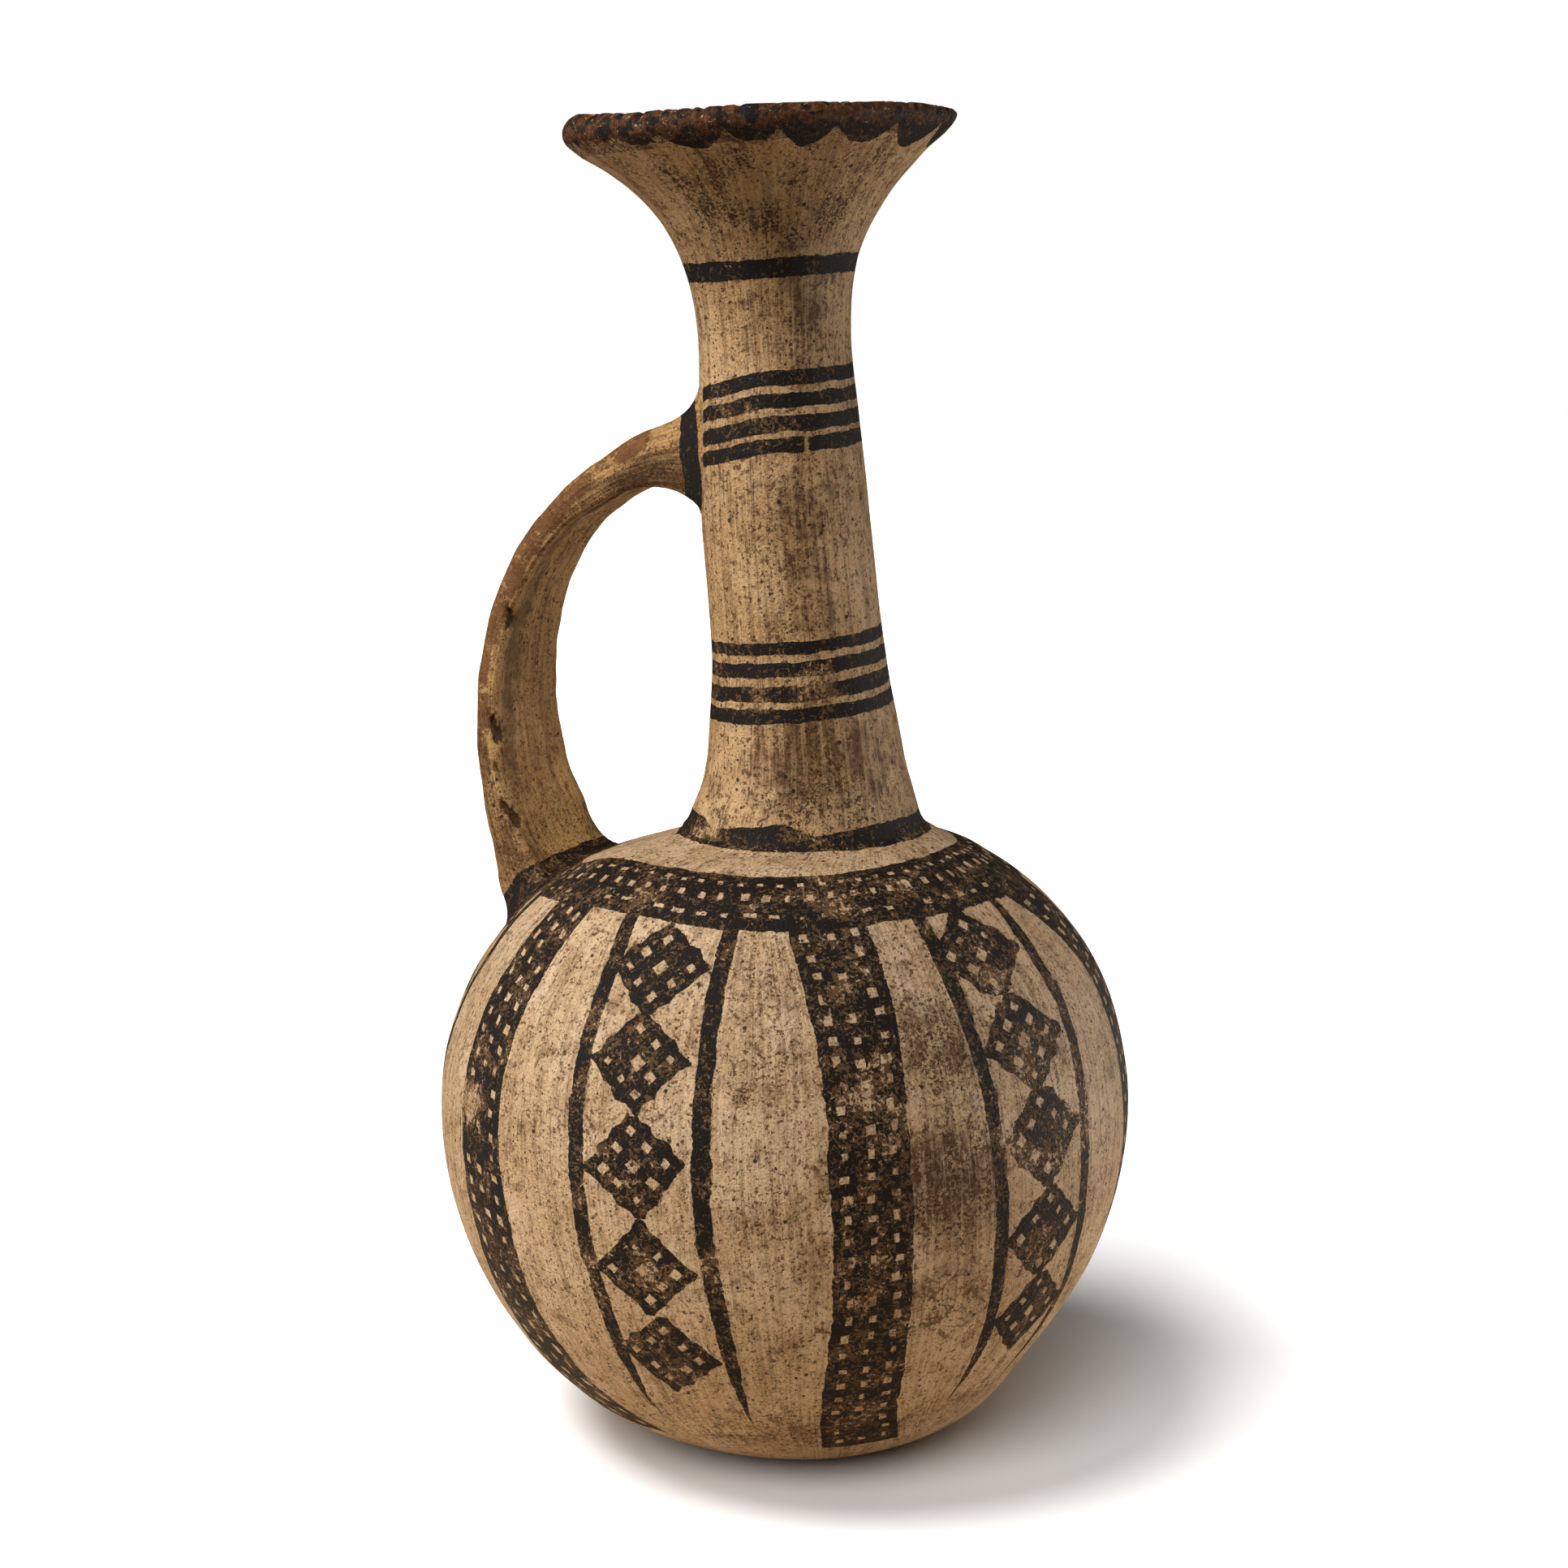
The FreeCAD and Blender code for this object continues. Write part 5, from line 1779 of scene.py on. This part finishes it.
def setWorld():
    world = bpy.data.worlds.new("studio")
    world.use_nodes = True
    tree = world.node_tree
    seen = seenByCamera(tree)
    back = tree.nodes["Background"]
    colour = mixColour(tree, seen, stageSizes["fillColour"], stageSizes["backdropColour"])
    join(tree, colour, back.inputs["Color"])
    join(tree, fade(seen, 0.0, 1.0, stageSizes["fill"], stageSizes["backdrop"]), back.inputs["Strength"])
    scene = bpy.context.scene
    scene.world = world
    scene.view_settings.view_transform = "Standard"
    scene.view_settings.gamma = stageSizes["gamma"]


def placeLight(name, kind, azimuth, height, distance):
    data = bpy.data.lights.new(name, kind)
    light = bpy.data.objects.new(name, data)
    turn = math.radians(azimuth + viewpoint["azimuth"])
    light.location = (distance * math.sin(turn), -distance * math.cos(turn), height)
    aim = Vector((0.0, 0.0, stageSizes["aimHeight"])) - light.location
    light.rotation_euler = aim.to_track_quat("-Z", "Y").to_euler()
    bpy.context.scene.collection.objects.link(light)
    return light


def lightGroup(name, pieces):
    group = bpy.data.collections.new(name)
    for piece in pieces:
        group.objects.link(piece)
    return group


# the softboxes light the jug and the suns light the floor, so that each can be set by itself
def addLights(floor, pieces):
    onlyJug = lightGroup("onlyJug", pieces)
    onlyHandle = lightGroup("onlyHandle", pieces[-1:])
    onlyFloor = lightGroup("onlyFloor", [floor])
    for name, (azimuth, height, distance, wide, tall, power) in lamps.items():
        light = placeLight(name, "AREA", azimuth, height, distance)
        light.data.shape = "RECTANGLE"
        light.data.size = wide
        light.data.size_y = tall
        light.data.energy = power
        light.light_linking.receiver_collection = onlyHandle if name == "handleCard" else onlyJug
    for name, (azimuth, up, softness, strength) in floorSuns.items():
        light = placeLight(name, "SUN", azimuth, stageSizes["aimHeight"] + math.tan(math.radians(up)), 1.0)
        light.data.angle = math.radians(softness)
        light.data.energy = strength
        light.light_linking.receiver_collection = onlyFloor


addCamera()
body = buildBody()
neck = buildNeck()
lip = buildLip()
handle, handleEnds = buildHandle([body, neck])
markHandleFoot(body, handleEnds)
setWorld()
addLights(buildFloor(), [body, neck, lip, handle])
print("stage and lights set")
